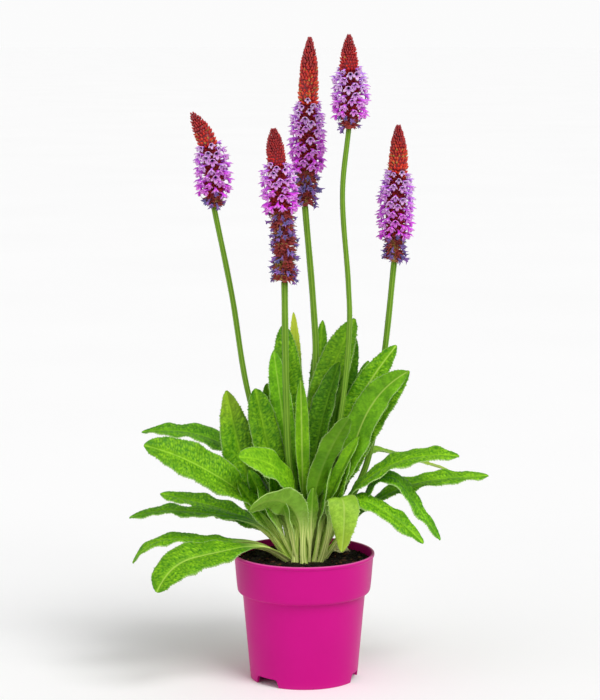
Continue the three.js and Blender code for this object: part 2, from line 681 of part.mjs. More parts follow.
function buildFlowers(spike, curve, number) {
  const { flowersFrom, budsFrom } = spike;
  const radii = [FLOWER_CORE_RADIUS, FLOWER_CORE_RADIUS + 0.4, FLOWER_CORE_RADIUS];
  const core = coreSolid(curve, [flowersFrom - 1, (flowersFrom + budsFrom) / 2, budsFrom + 1], radii);
  const rows = rowHeights(flowersFrom + 2, budsFrom - 1, FLORET_ROW);
  const solid = ringedSolid(core, rows, FLORETS_ROUND, (height, angle, row) => {
    const share = row / Math.max(rows.length - 1, 1);
    const reach = FLORET_REACH + ROOT_DEPTH - 2 * Math.abs(share - 0.4);
    const dip = BOTTOM_ROW_DIP - (BOTTOM_ROW_DIP + TOP_ROW_LIFT) * share;
    return floretSolid(headFrame(curve, height), angle, FLOWER_CORE_RADIUS - ROOT_DEPTH, reach, dip);
  });
  place(`spike_${number}_flowers`, toGeometry(trimmed(solid, curve, flowersFrom, budsFrom)), "flower");
}

function buildBuds(spike, curve, number) {
  const top = spike.head[spike.head.length - 1][2];
  const length = top - spike.budsFrom;
  const radiusAt = (height) => (spike.budRadius - 1.8) * (1 - ((height - spike.budsFrom) / length) ** 1.7) + 0.3;
  const heights = [spike.budsFrom - 1, spike.budsFrom + length * 0.35, spike.budsFrom + length * 0.7, top - 1];
  const radii = [radiusAt(spike.budsFrom), ...heights.slice(1).map(radiusAt)];
  const core = coreSolid(curve, heights, radii);
  const rows = rowHeights(spike.budsFrom, top - 4, BUD_ROW);
  const solid = ringedSolid(core, rows, BUDS_ROUND, (height, angle) => {
    const radius = radiusAt(height);
    const size = Math.min(0.5 + radius * 0.42, BUD_LARGEST);
    return calyxSolid(headFrame(curve, height), angle, radius * 0.75, size, radius * 0.25 + 2, BUD_TIP_LIFT);
  });
  place(`spike_${number}_buds`, toGeometry(trimmed(solid, curve, spike.budsFrom, null)), "bud");
}

function buildSpikes() {
  SPIKES.forEach((spike, index) => {
    const number = index + 1;
    const curve = curveThrough(spike.head);
    buildStem(spike, number);
    buildFaded(spike, curve, number);
    buildFlowers(spike, curve, number);
    buildBuds(spike, curve, number);
  });
}

buildPot();
buildSoil();
buildCrown();
buildLeaves();
buildWithered();
buildSpikes();

export default group;
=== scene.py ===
"""A potted orchid primrose: fine leaves, florets, buds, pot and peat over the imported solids.

The solids give every place and outline. Each piece here but the young leaves replaces one solid with a
finer mesh of the same form and a procedural material. Sizes are in millimetres, and a mesh is in metres.
"""
import logging
import math
from dataclasses import dataclass, field
from enum import Enum
from functools import partial
from typing import ClassVar

import bpy
import numpy as np
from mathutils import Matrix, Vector


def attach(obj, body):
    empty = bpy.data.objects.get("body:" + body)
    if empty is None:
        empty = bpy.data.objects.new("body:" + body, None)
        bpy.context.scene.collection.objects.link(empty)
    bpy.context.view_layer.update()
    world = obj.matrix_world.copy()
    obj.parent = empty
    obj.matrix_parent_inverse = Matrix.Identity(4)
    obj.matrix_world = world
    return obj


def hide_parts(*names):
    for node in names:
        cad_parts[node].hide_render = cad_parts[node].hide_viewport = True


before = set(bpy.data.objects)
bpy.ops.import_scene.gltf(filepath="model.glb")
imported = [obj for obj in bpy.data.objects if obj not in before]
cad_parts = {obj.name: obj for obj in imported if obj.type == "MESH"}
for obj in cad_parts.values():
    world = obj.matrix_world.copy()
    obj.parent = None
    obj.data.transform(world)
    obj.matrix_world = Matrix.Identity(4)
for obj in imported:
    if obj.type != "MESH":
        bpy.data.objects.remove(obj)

LOG = logging.getLogger("primrose")
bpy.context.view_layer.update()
MM = 0.001
TURN = 2 * math.pi
WORLD_UP = np.array([0.0, 0.0, 1.0])
HAIR_GIRTH = 0.06

# What the solids and this scene share
SOIL_HEIGHT = 102.0
CROWN_RADIUS = 20.0
CROWN_RISE = 4.0

Array = np.ndarray
Amount = np.ndarray | float
Material = bpy.types.Material
Mesh = bpy.types.Mesh
Socket = bpy.types.NodeSocket
# Where a small shape starts, the direction it starts in, and the one that it bends away from
Stance = tuple[Array, Array, Array]


class Tone(Enum):
    """The three greens that the leaves of one rosette show, by the record's slot."""

    BRIGHT = "leaf_bright"
    DEEP = "leaf_deep"
    PALE = "leaf_pale"


BRIGHT, DEEP, PALE = Tone

# Small helpers


def linear(colour: str) -> tuple[float, float, float, float]:
    """Turns an sRGB hex colour to linear RGBA.

    Args:
        colour: A colour such as "#6db31f".

    Returns:
        The linear colour with alpha 1.
    """
    parts = [int(colour[at:at + 2], 16) / 255 for at in (1, 3, 5)]
    out = [part / 12.92 if part <= 0.04045 else ((part + 0.055) / 1.055) ** 2.4 for part in parts]
    return (*out, 1.0)


def smooth(value: Amount) -> Amount:
    """Eases a value, clamped to 0 to 1, with no kink at either end."""
    x = np.clip(value, 0.0, 1.0)
    return x * x * (3 - 2 * x)


def unit(rows: Array) -> Array:
    """Scales each vector in the last axis to length 1."""
    return rows / np.maximum(np.linalg.norm(rows, axis=-1, keepdims=True), 1e-12)


def turns(count: int) -> Array:
    """Gives even angles round a circle."""
    return np.arange(count) / count * TURN


def lathe(radii: Array, heights: Amount, segments: int) -> Array:
    """Stands a ring of points round the upright axis for each radius and height."""
    x, y = radii * np.cos(turns(segments)), radii * np.sin(turns(segments))
    return np.stack([x, y, heights + 0 * x], -1)


def crown_height(radius: Amount) -> Amount:
    """Gives the height of the crown's dome at a radius."""
    return SOIL_HEIGHT + CROWN_RISE * (1 - (radius / CROWN_RADIUS) ** 2)


def hashed(*numbers: Amount) -> Array:
    """Turns whole numbers into draws from 0 to 1 that are always the same."""
    total = sum(np.asarray(number) * weight for number, weight in zip(numbers, (127.1, 311.7, 74.7)))
    return np.abs(np.sin(total) * 43758.5453) % 1.0


def leaning(root: Array, out: Array, along: Array, lean: float) -> Stance:
    """Gives the stance of what grows from a root outwards, tipped by an angle towards another direction."""
    return root, out * math.cos(lean) + along * math.sin(lean), along * math.cos(lean) - out * math.sin(lean)


def flat_ring(flatness: float) -> Array:
    """Gives the eight radii of a ring whose height is this share of its width."""
    turn = turns(8)
    return (flatness / np.sqrt((flatness * np.sin(turn)) ** 2 + np.cos(turn) ** 2))[None, :]


def ripples(x: Array, y: Array, wave: float, seed: int) -> Array:
    """Makes an uneven field from a few crossed waves.

    Args:
        x: The first coordinate.
        y: The second coordinate.
        wave: The usual wavelength.
        seed: The draw's seed.

    Returns:
        The field, about -1 to 1.
    """
    draw = np.random.default_rng(seed)
    total = np.zeros(np.broadcast(x, y).shape)
    for _ in range(7):
        angle, phase = draw.uniform(0, TURN, 2)
        length = wave * draw.uniform(0.6, 1.7)
        total = total + np.sin((x * math.cos(angle) + y * math.sin(angle)) * TURN / length + phase)
    return total / 3.5


def curve_through(knots: tuple, count: int) -> Array:
    """Samples the curve that the stems and heads follow: smooth, and without loops at uneven knots.

    Args:
        knots: The points it passes through.
        count: How many samples.

    Returns:
        The samples, one a row.
    """
    knot = np.array(knots, float)
    padded = np.vstack([2 * knot[0] - knot[1], knot, 2 * knot[-1] - knot[-2]])
    out = []
    for place in np.linspace(0, len(knot) - 1, count):
        at = min(int(place), len(knot) - 2)
        share = place - at
        before, start, end, after = padded[at:at + 4]
        first, middle, last = (
            np.linalg.norm(b - a) ** 0.5 for a, b in ((before, start), (start, end), (end, after))
        )
        leave = (start - before) / first - (end - before) / (first + middle) + (end - start) / middle
        arrive = (end - start) / middle - (after - start) / (middle + last) + (after - end) / last
        leave, arrive = leave * middle, arrive * middle
        square = -3 * start + 3 * end - 2 * leave - arrive
        cubic = 2 * start - 2 * end + leave + arrive
        out.append(start + leave * share + square * share ** 2 + cubic * share ** 3)
    return np.array(out)


def rounded(corners: list[tuple[float, float, float]], steps: int) -> Array:
    """Rounds the corners of a line in a plane.

    Args:
        corners: Each corner's two coordinates and how far from it the rounding starts.
        steps: How many pieces each rounding has.

    Returns:
        The points.
    """
    places = np.array([corner[:2] for corner in corners], float)
    out = [places[0]]
    for at in range(1, len(corners) - 1):
        reach = corners[at][2]
        if reach <= 0:
            out.append(places[at])
            continue
        edges = [places[other] - places[at] for other in (at - 1, at + 1)]
        lengths = [np.linalg.norm(edge) for edge in edges]
        start, end = (
            places[at] + edge / length * min(reach, length * 0.48) for edge, length in zip(edges, lengths)
        )
        for share in np.linspace(0, 1, steps + 1):
            out.append((1 - share) ** 2 * start + 2 * share * (1 - share) * places[at] + share ** 2 * end)
    return np.array([*out, places[-1]])


# Meshes and pieces


@dataclass
class Skin:
    """Points and faces gathered for one mesh, in millimetres, with named values at each point."""

    fields: tuple[str, ...] = ()
    points: list[Array] = field(default_factory=list)
    quads: list[Array] = field(default_factory=list)
    triangles: list[Array] = field(default_factory=list)
    values: dict[str, list[Array]] = field(default_factory=dict)
    count: int = 0

    def add(self, points: Array, quads: Array, triangles: Array, **values: Amount) -> None:
        """Adds a patch.

        Args:
            points: Its points, in the last axis.
            quads: Four point numbers a row.
            triangles: Three point numbers a row.
            values: The named values, each an array over the points or one number for all.
        """
        self.points.append(points.reshape(-1, 3))
        self.quads.append(quads + self.count)
        self.triangles.append(triangles + self.count)
        for name in self.fields:
            value = np.broadcast_to(np.asarray(values.get(name, 0.0), float), points.shape[:-1])
            self.values.setdefault(name, []).append(value.ravel())
        self.count += points.size // 3

    def tube(self, points: Array, closed: bool = True, **values: Amount) -> None:
        """Adds a tube, which faces out where its rings run anticlockwise seen from its end.

        Args:
            points: Its points, by ring and place in the ring.
            closed: Whether each end has a lid.
            values: The named values.
        """
        rings, around = points.shape[:2]
        row = np.arange(rings - 1)[:, None] * around
        here = np.arange(around)[None, :]
        after = (here + 1) % around
        quads = np.stack([row + here, row + after, row + around + after, row + around + here], -1)
        fan = np.arange(1, around - 1) if closed else np.zeros(0, int)
        last = (rings - 1) * around
        lids = np.stack([fan * 0, fan + 1, fan], -1), np.stack([fan * 0, fan, fan + 1], -1) + last
        self.add(points, quads.reshape(-1, 4), np.concatenate(lids), **values)

    def sprout(self, stance: Stance, reach: Array, radius: Array, bend: float, **values: Amount) -> None:
        """Adds a closed shape that grows along an arc, ring by ring.

        Args:
            stance: Where it starts and which way.
            reach: How far along the arc each point is, by ring and place in the ring.
            radius: How far from the arc each point is, likewise.
            bend: How far the arc turns over its longest reach, in degrees.
            values: The named values.
        """
        root, ahead, up = stance
        reach, radius = np.broadcast_arrays(reach, radius)
        turn = turns(reach.shape[1])[:, None]
        rate = (math.radians(bend) or 1e-5) / max(float(reach.max()), 1e-6)
        angle = (reach * rate)[..., None]
        centre = root + ahead * np.sin(angle) / rate - up * (1 - np.cos(angle)) / rate
        above = ahead * np.sin(angle) + up * np.cos(angle)
        side = np.cross(ahead, up)
        self.tube(centre + radius[..., None] * (above * np.cos(turn) + side * np.sin(turn)), **values)

    def down(self, roots: Array, ways: Array, length: float, **values: float) -> None:
        """Adds down: one fine three-sided sliver at each root.

        Args:
            roots: Where each hair starts.
            ways: The direction of each hair.
            length: The longest hair.
            values: The named values.
        """
        number = np.arange(len(roots))
        side = unit(np.cross(ways, np.array([0.36, 0.48, 0.8])))
        other = np.cross(ways, side)
        rims = [side * math.cos(turn) + other * math.sin(turn) for turn in turns(3)]
        foot = [roots - ways * 0.2 + HAIR_GIRTH * rim for rim in rims]
        tip = roots + ways * length * (0.55 + 0.45 * hashed(number))[:, None]
        faces = number[:, None, None] * 4 + np.array([(0, 1, 3), (1, 2, 3), (2, 0, 3), (2, 1, 0)])
        self.add(np.stack([*foot, tip], 1), np.zeros((0, 4), int), faces.reshape(-1, 3), **values)

    def mesh(self, name: str) -> Mesh:
        """Makes the mesh, in metres, with its values as point attributes.

        Args:
            name: The mesh's name.

        Returns:
            The mesh.
        """
        mesh = bpy.data.meshes.new(name)
        quads, triangles = np.concatenate(self.quads), np.concatenate(self.triangles)
        corners = np.concatenate([quads.ravel(), triangles.ravel()])
        starts = np.concatenate([np.arange(len(quads)) * 4, 4 * len(quads) + np.arange(len(triangles)) * 3])
        mesh.vertices.add(self.count)
        mesh.vertices.foreach_set("co", (np.concatenate(self.points) * MM).astype(np.float32).ravel())
        mesh.loops.add(len(corners))
        mesh.loops.foreach_set("vertex_index", corners.astype(np.int32))
        mesh.polygons.add(len(starts))
        mesh.polygons.foreach_set("loop_start", starts.astype(np.int32))
        mesh.update(calc_edges=True)
        mesh.validate()
        mesh.shade_smooth()
        for value_name, parts in self.values.items():
            paint(mesh, value_name, np.concatenate(parts))
        return mesh


def paint(mesh: Mesh, name: str, values: Array) -> None:
    """Stores one number at each point of a mesh, under a name."""
    layer = mesh.attributes.new(name, "FLOAT", "POINT")
    layer.data.foreach_set("value", np.asarray(values, np.float32))


def put(name: str, data: bpy.types.ID) -> bpy.types.Object:
    """Makes an object of a mesh, light or camera and links it to the scene.

    Args:
        name: The object's name.
        data: What it shows.

    Returns:
        The object.
    """
    made = bpy.data.objects.new(name, data)
    bpy.context.scene.collection.objects.link(made)
    return made


def hand_over(mesh: Mesh, material: Material, slot: str, node: str | None = None) -> None:
    """Makes a piece of a mesh, dresses it, and lets it stand for a solid if there is one.

    Args:
        mesh: The mesh, whose name the piece takes.
        material: Its material.
        slot: The record's material slot; not used.
        node: The solid that it replaces, if any.
    """
    piece = put(mesh.name, mesh)
    mesh.materials.append(material)
    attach(piece, "root")
    if node:
        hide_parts(node)
    LOG.info("%s: %d faces", piece.name, len(mesh.polygons))


# Finishes


def add_node(tree: bpy.types.NodeTree, kind: str, settings: dict | None = None, links: dict | None = None,
             output: int | str = 0) -> Socket:
    """Adds a node with its settings and links.

    Args:
        tree: The node tree.
        kind: The node's type, without "ShaderNode".
        settings: The node's own properties by name.
        links: What goes into each input socket: another node's output, a number, or a hex colour.
        output: Which output is wanted.

    Returns:
        That output socket, or the first input socket of a node with no output.
    """
    node = tree.nodes.new("ShaderNode" + kind)
    for name, value in (settings or {}).items():
        setattr(node, name, value)
    for name, value in (links or {}).items():
        if isinstance(value, Socket):
            tree.links.new(value, node.inputs[name])
        else:
            node.inputs[name].default_value = linear(value) if isinstance(value, str) else value
    return node.outputs[output] if node.outputs else node.inputs[0]


@dataclass(frozen=True)
class Finish:
    """What every finish shares: point values and noises to read, laid colours, fine bump and a shader.

    A recipe is a colour's name, or a base recipe and the layers over it. A layer holds what masks it, the
    readings at which it starts and is full, its most, its own recipe, and a second mask where it has one.
    """

    name: str
    masks: ClassVar[tuple[str, ...]] = ()
    # Each noise's size in millimetres, its detail, and its roughness where it isn't 0.5
    noises: ClassVar[dict[str, tuple[float, ...]]] = {}
    recipe: ClassVar[tuple] = ()
    # What the bump follows, its depth in millimetres and its strength
    bump: ClassVar[tuple] = ()
    # What the roughness follows, its least and its most
    rough: ClassVar[tuple] = ()
    gloss: ClassVar[dict[str, float]] = {}

    def derive(self, add: partial, read: dict[str, Socket]) -> None:
        """Adds the readings that a finish works out from others."""

    def mixed(self, add: partial, read: dict[str, Socket], recipe: str | tuple) -> Socket | str:
        """Lays the colours of a recipe over each other.

        Args:
            add: Adds a node to the material.
            read: The readings by name.
            recipe: The recipe.

        Returns:
            The mixed colour, or a hex colour for a recipe that is only its name.
        """
        if isinstance(recipe, str):
            return getattr(self, recipe)
        colour = self.mixed(add, read, recipe[0])
        for mask, start, full, most, over, *also in recipe[1:]:
            share = add("MapRange", None, {0: read[mask], 1: start, 2: full, 4: most})
            for other in also:
                share = add("Math", {"operation": "MULTIPLY"}, {0: share, 1: read[other]})
            over = self.mixed(add, read, over)
            colour = add("Mix", {"data_type": "RGBA"}, {0: share, 6: colour, 7: over}, 2)
        return colour

    def build(self) -> Material:
        """Makes the material.

        Returns:
            The material.
        """
        material = bpy.data.materials.new(self.name)
        material.use_nodes = True
        material.node_tree.nodes.clear()
        add = partial(add_node, material.node_tree)
        place = add("TexCoord", output="Object")
        read = {"place": place}
        for mask in self.masks:
            read[mask] = add("Attribute", {"attribute_name": mask}, None, "Fac")
        for noise, (size, *settings) in self.noises.items():
            links = {0: place, "Scale": 1000 / size, **dict(zip(("Detail", "Roughness"), settings))}
            read[noise] = add("TexNoise", None, links, "Fac")
        self.derive(add, read)
        colour = self.mixed(add, read, self.recipe)
        # A tint scales the colour's value; for the leaves it holds painted shade and light beside their own
        # tone
        if "tint" in read:
            value = add("MapRange", None, {0: read["tint"], 3: 0.6, 4: 1.4})
            colour = add("HueSaturation", None, {"Value": value, "Color": colour})
        inputs = {"Base Color": colour, **self.gloss}
        if self.bump:
            follows, depth, strength = self.bump
            links = {"Height": read[follows], "Distance": depth * MM, "Strength": strength}
            inputs["Normal"] = add("Bump", None, links)
        if self.rough:
            follows, least, most = self.rough
            links = {0: read[follows], 1: 0.3, 2: 0.7, 3: least, 4: most}
            inputs["Roughness"] = add("MapRange", None, links)
        add("OutputMaterial", None, {0: add("BsdfPrincipled", None, inputs)})
        return material


@dataclass(frozen=True)
class PuckeredLeaf(Finish):
    """Primrose leaf, grown: puckered between sunken veins, with painted light on the crests, a lighter crest
    green, and painted shade in the veins, a darker valley green.
    """

    crest: str
    valley: str
    under: str
    midrib: str = "#b0ce5c"
    stalk: str = "#e2ea94"
    stripe: str = "#7aa81a"
    rim: str = "#cce49c"
    aged: str = "#d2dc44"
    masks = ("puff", "rib", "stalk", "rim", "under", "age", "tint")
    noises = {"blotch": (16, 2.0), "fine": (2.2, 3.0)}
    recipe = (
        # Painted light and shade: the lighter crest green on the puckers, the darker valley green in the
        # sunken veins
        ("valley", ("mottled", 0.62, 1.95, 1.0, "crest")),
        ("under", 0.0, 1.0, 1.0, ("under", ("puff", 0.35, 0.0, 0.3, "midrib"))),
        ("blotch", 0.42, 0.66, 0.45, "valley"),
        ("age", 0.0, 1.0, 0.8, "aged"),
        ("rib", 0.1, 0.95, 0.9, "midrib"),
        ("stalk", 0.0, 1.0, 1.0, ("stalk", ("puff", 0.8, 0.15, 0.75, "stripe"))),
        ("rim", 0.0, 1.0, 0.55, "rim"),
    )
    bump = ("net", 0.15, 0.6)
    rough = ("fine", 0.4, 0.56)
    gloss = {"IOR": 1.42, "Sheen Weight": 0.02, "Sheen Roughness": 0.5, "Specular IOR Level": 0.2}

    def derive(self, add: partial, read: dict[str, Socket]) -> None:
        """Adds the mottled puckers, whose reading lays painted light on the crests and painted shade in the
        valleys, and the finest net of veins, about 1.2 mm a mesh.

        Args:
            add: Adds a node to the material.
            read: The readings by name.
        """
        links = {0: read["fine"], 1: 1.5, 2: read["puff"]}
        read["mottled"] = add("Math", {"operation": "MULTIPLY_ADD"}, links)
        links = {0: read["place"], "Scale": 1000 / 1.2}
        cells = add("TexVoronoi", {"feature": "DISTANCE_TO_EDGE"}, links, "Distance")
        read["net"] = add("MapRange", None, {0: cells, 1: 0.0, 2: 0.35})


@dataclass(frozen=True)
class DownyStalk(Finish):
    """Flower stalk, grown: finely ridged lengthwise and downy, so it looks matt with paler streaks."""

    name: str = "downy_flower_stalk"
    body: str = "#507f12"
    ridge: str = "#83aa36"
    foot: str = "#b9cc70"
    masks = ("ridge", "foot")
    noises = {"blotch": (9, 2.0), "down": (0.9, 3.0)}
    recipe = (
        "body", ("ridge", 0.0, 1.0, 1.0, "ridge"), ("blotch", 0.45, 0.75, 0.3, "ridge"),
        ("foot", 0.0, 1.0, 1.0, "foot"),
    )
    bump = ("down", 0.12, 0.6)
    gloss = {"Roughness": 0.5, "IOR": 1.42, "Sheen Weight": 0.04, "Sheen Roughness": 0.5,
             "Specular IOR Level": 0.2}


@dataclass(frozen=True)
class MouldedPolypropylene(Finish):
    """Polypropylene pot, injection moulded: satin, evenly dyed, with a painted highlight on its lip and
    traces of peat.
    """

    name: str = "moulded_polypropylene"
    body: str = "#cb0086"
    flow: str = "#ba0078"
    # Painted highlight: the top of the lip is paler
    lip: str = "#de5ca4"
    peat: str = "#5b2b35"
    masks = ("edge", "dust")
    noises = {"drift": (70, 2.0), "grain": (0.8, 3.0), "speck": (2.0, 5.0, 0.65)}
    recipe = (
        "body", ("drift", 0.35, 0.65, 0.35, "flow"), ("edge", 0.0, 1.0, 0.8, "lip"),
        ("speck", 0.55, 0.68, 1.0, "peat", "dust"),
    )
    bump = ("grain", 0.03, 0.5)
    rough = ("drift", 0.34, 0.44)
    gloss = {"IOR": 1.49, "Specular IOR Level": 0.16}


@dataclass(frozen=True)
class PottingPeat(Finish):
    """Potting peat, milled and pressed down: near black and rough, with reddish bark crumbs."""

    name: str = "potting_peat"
    dark: str = "#0c0806"
    brown: str = "#2a1a10"
    bark: str = "#5c3824"
    masks = ("bark",)
    noises = {"grain": (2.4, 5.0, 0.7), "grit": (1.1, 4.0, 0.7)}
    recipe = ("dark", ("grain", 0.4, 0.7, 1.0, "brown"), ("bark", 0.0, 1.0, 1.0, "bark"))
    bump = ("grit", 0.6, 0.9)
    gloss = {"Roughness": 0.92, "Specular IOR Level": 0.25}


@dataclass(frozen=True)
class FleshyRootstock(Finish):
    """Rootstock, grown: pale leaf bases and brown husks, with peat washed between them."""

    name: str = "fleshy_rootstock"
    flesh: str = "#94a063"
    husk: str = "#5c4528"
    peat: str = "#1c120c"
    masks = ("scale",)
    noises = {"patch": (5, 3.0), "grit": (1.5, 4.0)}
    recipe = ("flesh", ("patch", 0.42, 0.62, 1.0, "husk"), ("scale", 1.0, 0.0, 1.0, "peat"))
    bump = ("grit", 0.5, 0.8)
    gloss = {"Roughness": 0.82, "IOR": 1.42, "Specular IOR Level": 0.3}


@dataclass(frozen=True)
class DriedLeaf(Finish):
    """Dead leaf, dried on the peat: papery and cream, with browner veins."""

    name: str = "papery_dried_leaf"
    paper: str = "#f6eec2"
    vein: str = "#cdb57c"
    masks = ("vein",)
    noises = {"patch": (4, 3.0), "crease": (1.0, 4.0)}
    recipe = ("paper", ("vein", 0.0, 1.0, 1.0, "vein"), ("patch", 0.5, 0.7, 0.5, "vein"))
    bump = ("crease", 0.2, 0.7)
    gloss = {"Roughness": 0.78, "IOR": 1.4, "Specular IOR Level": 0.3}


@dataclass(frozen=True)
class VelvetFloret(Finish):
    """Open floret, grown: a velvety limb, lilac with a whitish rim when new, magenta violet when older, with
    painted shade, near black, down its throat.
    """

    name: str = "velvet_floret"
    young: str = "#ecb6fc"
    older: str = "#f45cf4"
    back_young: str = "#cc90ff"
    back_older: str = "#ea4af4"
    rim: str = "#fdeef8"
    # Painted shade: near black down the throat and on the stalk between the florets
    throat: str = "#22072a"
    sepal: str = "#a4202e"
    sepal_tip: str = "#c8462c"
    masks = ("age", "back", "rim", "throat", "sepal")
    noises = {"fine": (1.5, 2.0), "blotch": (4, 1.0)}
    recipe = (
        ("young", ("age", 0.0, 1.0, 1.0, "older")),
        ("back", 0.0, 1.0, 1.0, ("back_young", ("age", 0.0, 1.0, 1.0, "back_older"))),
        ("blotch", 0.45, 0.65, 0.25, "back_older"),
        # The pale rim fades to 0.45 as a floret ages
        ("age", 1 / 0.55, 0.0, 1.0, "rim", "rim"),
        # Painted shade down the throat
        ("throat", 0.0, 1.0, 1.0, "throat"),
        ("sepal", 0.0, 1.0, 1.0, ("sepal", ("blotch", 0.5, 0.66, 1.0, "sepal_tip"))),
    )
    bump = ("fine", 0.06, 0.4)
    gloss = {"Roughness": 0.55, "IOR": 1.4, "Sheen Weight": 0.1, "Sheen Roughness": 0.4,
             "Specular IOR Level": 0.3}


@dataclass(frozen=True)
class WaxyBud(Finish):
    """Closed calyx, grown: waxy, scarlet low in the cone and maroon at its tip, over yellow-green bracts."""

    name: str = "waxy_bud"
    low: str = "#e4381e"
    flame: str = "#f46a34"
    middle: str = "#c82a28"
    top: str = "#9e2a30"
    shade: str = "#761420"
    bract: str = "#bea650"
    masks = ("rise", "span", "bract", "warm")
    noises = {"blotch": (3.5, 2.0), "fine": (0.7, 2.0)}
    recipe = (
        "low", ("rise", 0.0, 0.45, 1.0, "middle"), ("warm", 0.45, 1.0, 0.85, "flame"),
        ("rise", 0.45, 0.95, 1.0, "top"), ("blotch", 0.5, 0.7, 0.35, "top"),
        ("span", 0.55, 0.1, 0.9, "shade"), ("bract", 0.0, 1.0, 1.0, "bract"),
    )
    bump = ("fine", 0.05, 0.4)
    gloss = {"Roughness": 0.42, "IOR": 1.44, "Coat Weight": 0.1, "Coat Roughness": 0.3}


@dataclass(frozen=True)
class SpentFloret(Finish):
    """Spent floret, dried on the stalk: a rust-brown calyx and a limp slate-violet tube."""

    name: str = "spent_floret"
    rust: str = "#b64c46"
    brown: str = "#96343a"
    olive: str = "#a0903e"
    slate: str = "#66609a"
    violet: str = "#a06cc0"
    masks = ("limp",)
    noises = {"patch": (4, 2.0), "broad": (8, 2.0), "crease": (0.8, 3.0)}
    recipe = (
        "rust", ("patch", 0.42, 0.6, 1.0, "brown"), ("broad", 0.54, 0.66, 0.8, "olive"),
        ("limp", 0.0, 1.0, 1.0, ("slate", ("patch", 0.42, 0.6, 1.0, "violet"))),
    )
    bump = ("crease", 0.12, 0.7)
    gloss = {"Roughness": 0.7, "IOR": 1.4, "Specular IOR Level": 0.25, "Sheen Weight": 0.12}


@dataclass(frozen=True)
class MattFloor(Finish):
    """Studio floor, painted: matt and near white, with the faintest clouding."""

    name: str = "matt_painted_floor"
    white: str = "#fdfdfd"
    cloud: str = "#f9f9f9"
    noises = {"clouding": (500,)}
    recipe = ("white", ("clouding", 0.0, 1.0, 1.0, "cloud"))
    gloss = {"Roughness": 0.95, "Specular IOR Level": 0.1}


# Pot and peat


@dataclass
class NurseryPot:
    """The moulded pot: a lipped collar, a taper, and a notched foot ring round a stepped floor."""

    segments: int = 128
    notch_angles: tuple[float, ...] = (-44.0, 76.0, 196.0)
    notch_half: float = 11.0
    notch_flare: float = 2.0
    notch_height: float = 7.0
    notch_reach: tuple[float, float] = (40.6, 52.0)
    drain_radius: float = 4.0
    drain_ring: float = 36.0
    drain_heights: tuple[float, float] = (7.4, 12.0)
    crease: float = 38.0
    wall_heights: tuple[float, ...] = (4.0, 7.5, 14.0, 22.0, 32.0, 42.0, 52.0, 62.0, 70.0)

    def profile(self) -> Array:
        """Draws half the pot's section, from the floor's outside to its inside.

        Returns:
            Radius and height of each point, without the two middle points that the lids stand for.
        """
        return rounded([
            (0.0, 0.0, 0), (24.6, 0.0, 0.8), (27.2, 8.0, 1.2), (42.7, 8.0, 0.8), (43.4, 0.0, 0.4),
            (45.5, 0.0, 0.5), *((45.5 + 6.6 * height / 74, height, 0) for height in self.wall_heights),
            (52.1, 74.0, 0.9), (56.2, 74.9, 2.6), (57.1, 82.0, 2.4), (59.0, 104.9, 0.6), (60.0, 105.6, 0.7),
            (59.8, 108.0, 0.9), (57.8, 108.0, 0.6), (57.65, 106.4, 0), (57.1, 100.0, 0), (56.5, 92.0, 0),
            (55.7, 83.0, 2.0), (54.4, 79.2, 2.0), (50.8, 75.0, 2.0), (44.3, 9.3, 1.5), (26.2, 9.3, 1.0),
            (23.6, 1.3, 1.0), (0.0, 1.3, 0),
        ], 5)[1:-1]

    def cutters(self) -> Mesh:
        """Makes the blocks that cut the notches and drain holes.

        Returns:
            Their mesh.
        """
        half, wide, top = self.notch_half, self.notch_half + self.notch_flare, self.notch_height
        corners = [(-wide, -1.0, 0), (wide, -1.0, 0), (half, top, 2.4), (-half, top, 2.4), (-wide, -1.0, 0)]
        outline = rounded(corners, 4)[:-1]
        drain = lathe(np.full((1, 1), self.drain_radius), 0.0, 28)
        skin = Skin()
        for angle in np.radians(self.notch_angles):
            ahead = np.array([math.sin(angle), -math.cos(angle), 0.0])
            side = np.array([math.cos(angle), math.sin(angle), 0.0])
            notch = outline[:, :1] * side + outline[:, 1:] * WORLD_UP
            skin.tube(np.array([ahead * reach + notch for reach in self.notch_reach]))
            hole = ahead * self.drain_ring + drain[0]
            skin.tube(np.array([hole + WORLD_UP * height for height in self.drain_heights]))
        return skin.mesh("pot_cutters")

    def build(self) -> None:
        """Turns the section round the axis, cuts it and hands the pot over."""
        section = self.profile()
        skin = Skin()
        skin.tube(lathe(section[:, :1], section[:, 1:], self.segments))
        shell = put("pot_shell", skin.mesh("pot_shell"))
        cutter = put("pot_cutter", self.cutters())
        cut = shell.modifiers.new("cut", "BOOLEAN")
        cut.operation = "DIFFERENCE"
        cut.solver = "EXACT"
        cut.object = cutter
        mesh = bpy.data.meshes.new_from_object(shell.evaluated_get(bpy.context.evaluated_depsgraph_get()))
        mesh.name = "nursery_pot"
        for helper in (shell, cutter):
            bpy.data.objects.remove(helper)
        mesh.shade_smooth()
        mesh.set_sharp_from_angle(angle=math.radians(self.crease))
        place = np.zeros(len(mesh.vertices) * 3, np.float32)
        mesh.vertices.foreach_get("co", place)
        x, y, height = (place.reshape(-1, 3) / MM).T
        radius = np.hypot(x, y)
        outer = smooth((radius - 40) / 3)
        # Painted highlight along the top of the lip; the edge value also makes the pot a little paler
        # towards its foot
        lip = smooth((height - 107.0) / 0.6) * smooth(radius - 57.2)
        paint(mesh, "edge", lip + 0.12 * smooth((5 - height) / 5) * outer)
        inside = smooth(58.2 - radius) * smooth((height - 84) / 12)
        paint(mesh, "dust", 0.7 * inside + 0.3 * smooth((3 - height) / 3) * outer)
        hand_over(mesh, MouldedPolypropylene().build(), "pot", "pot")


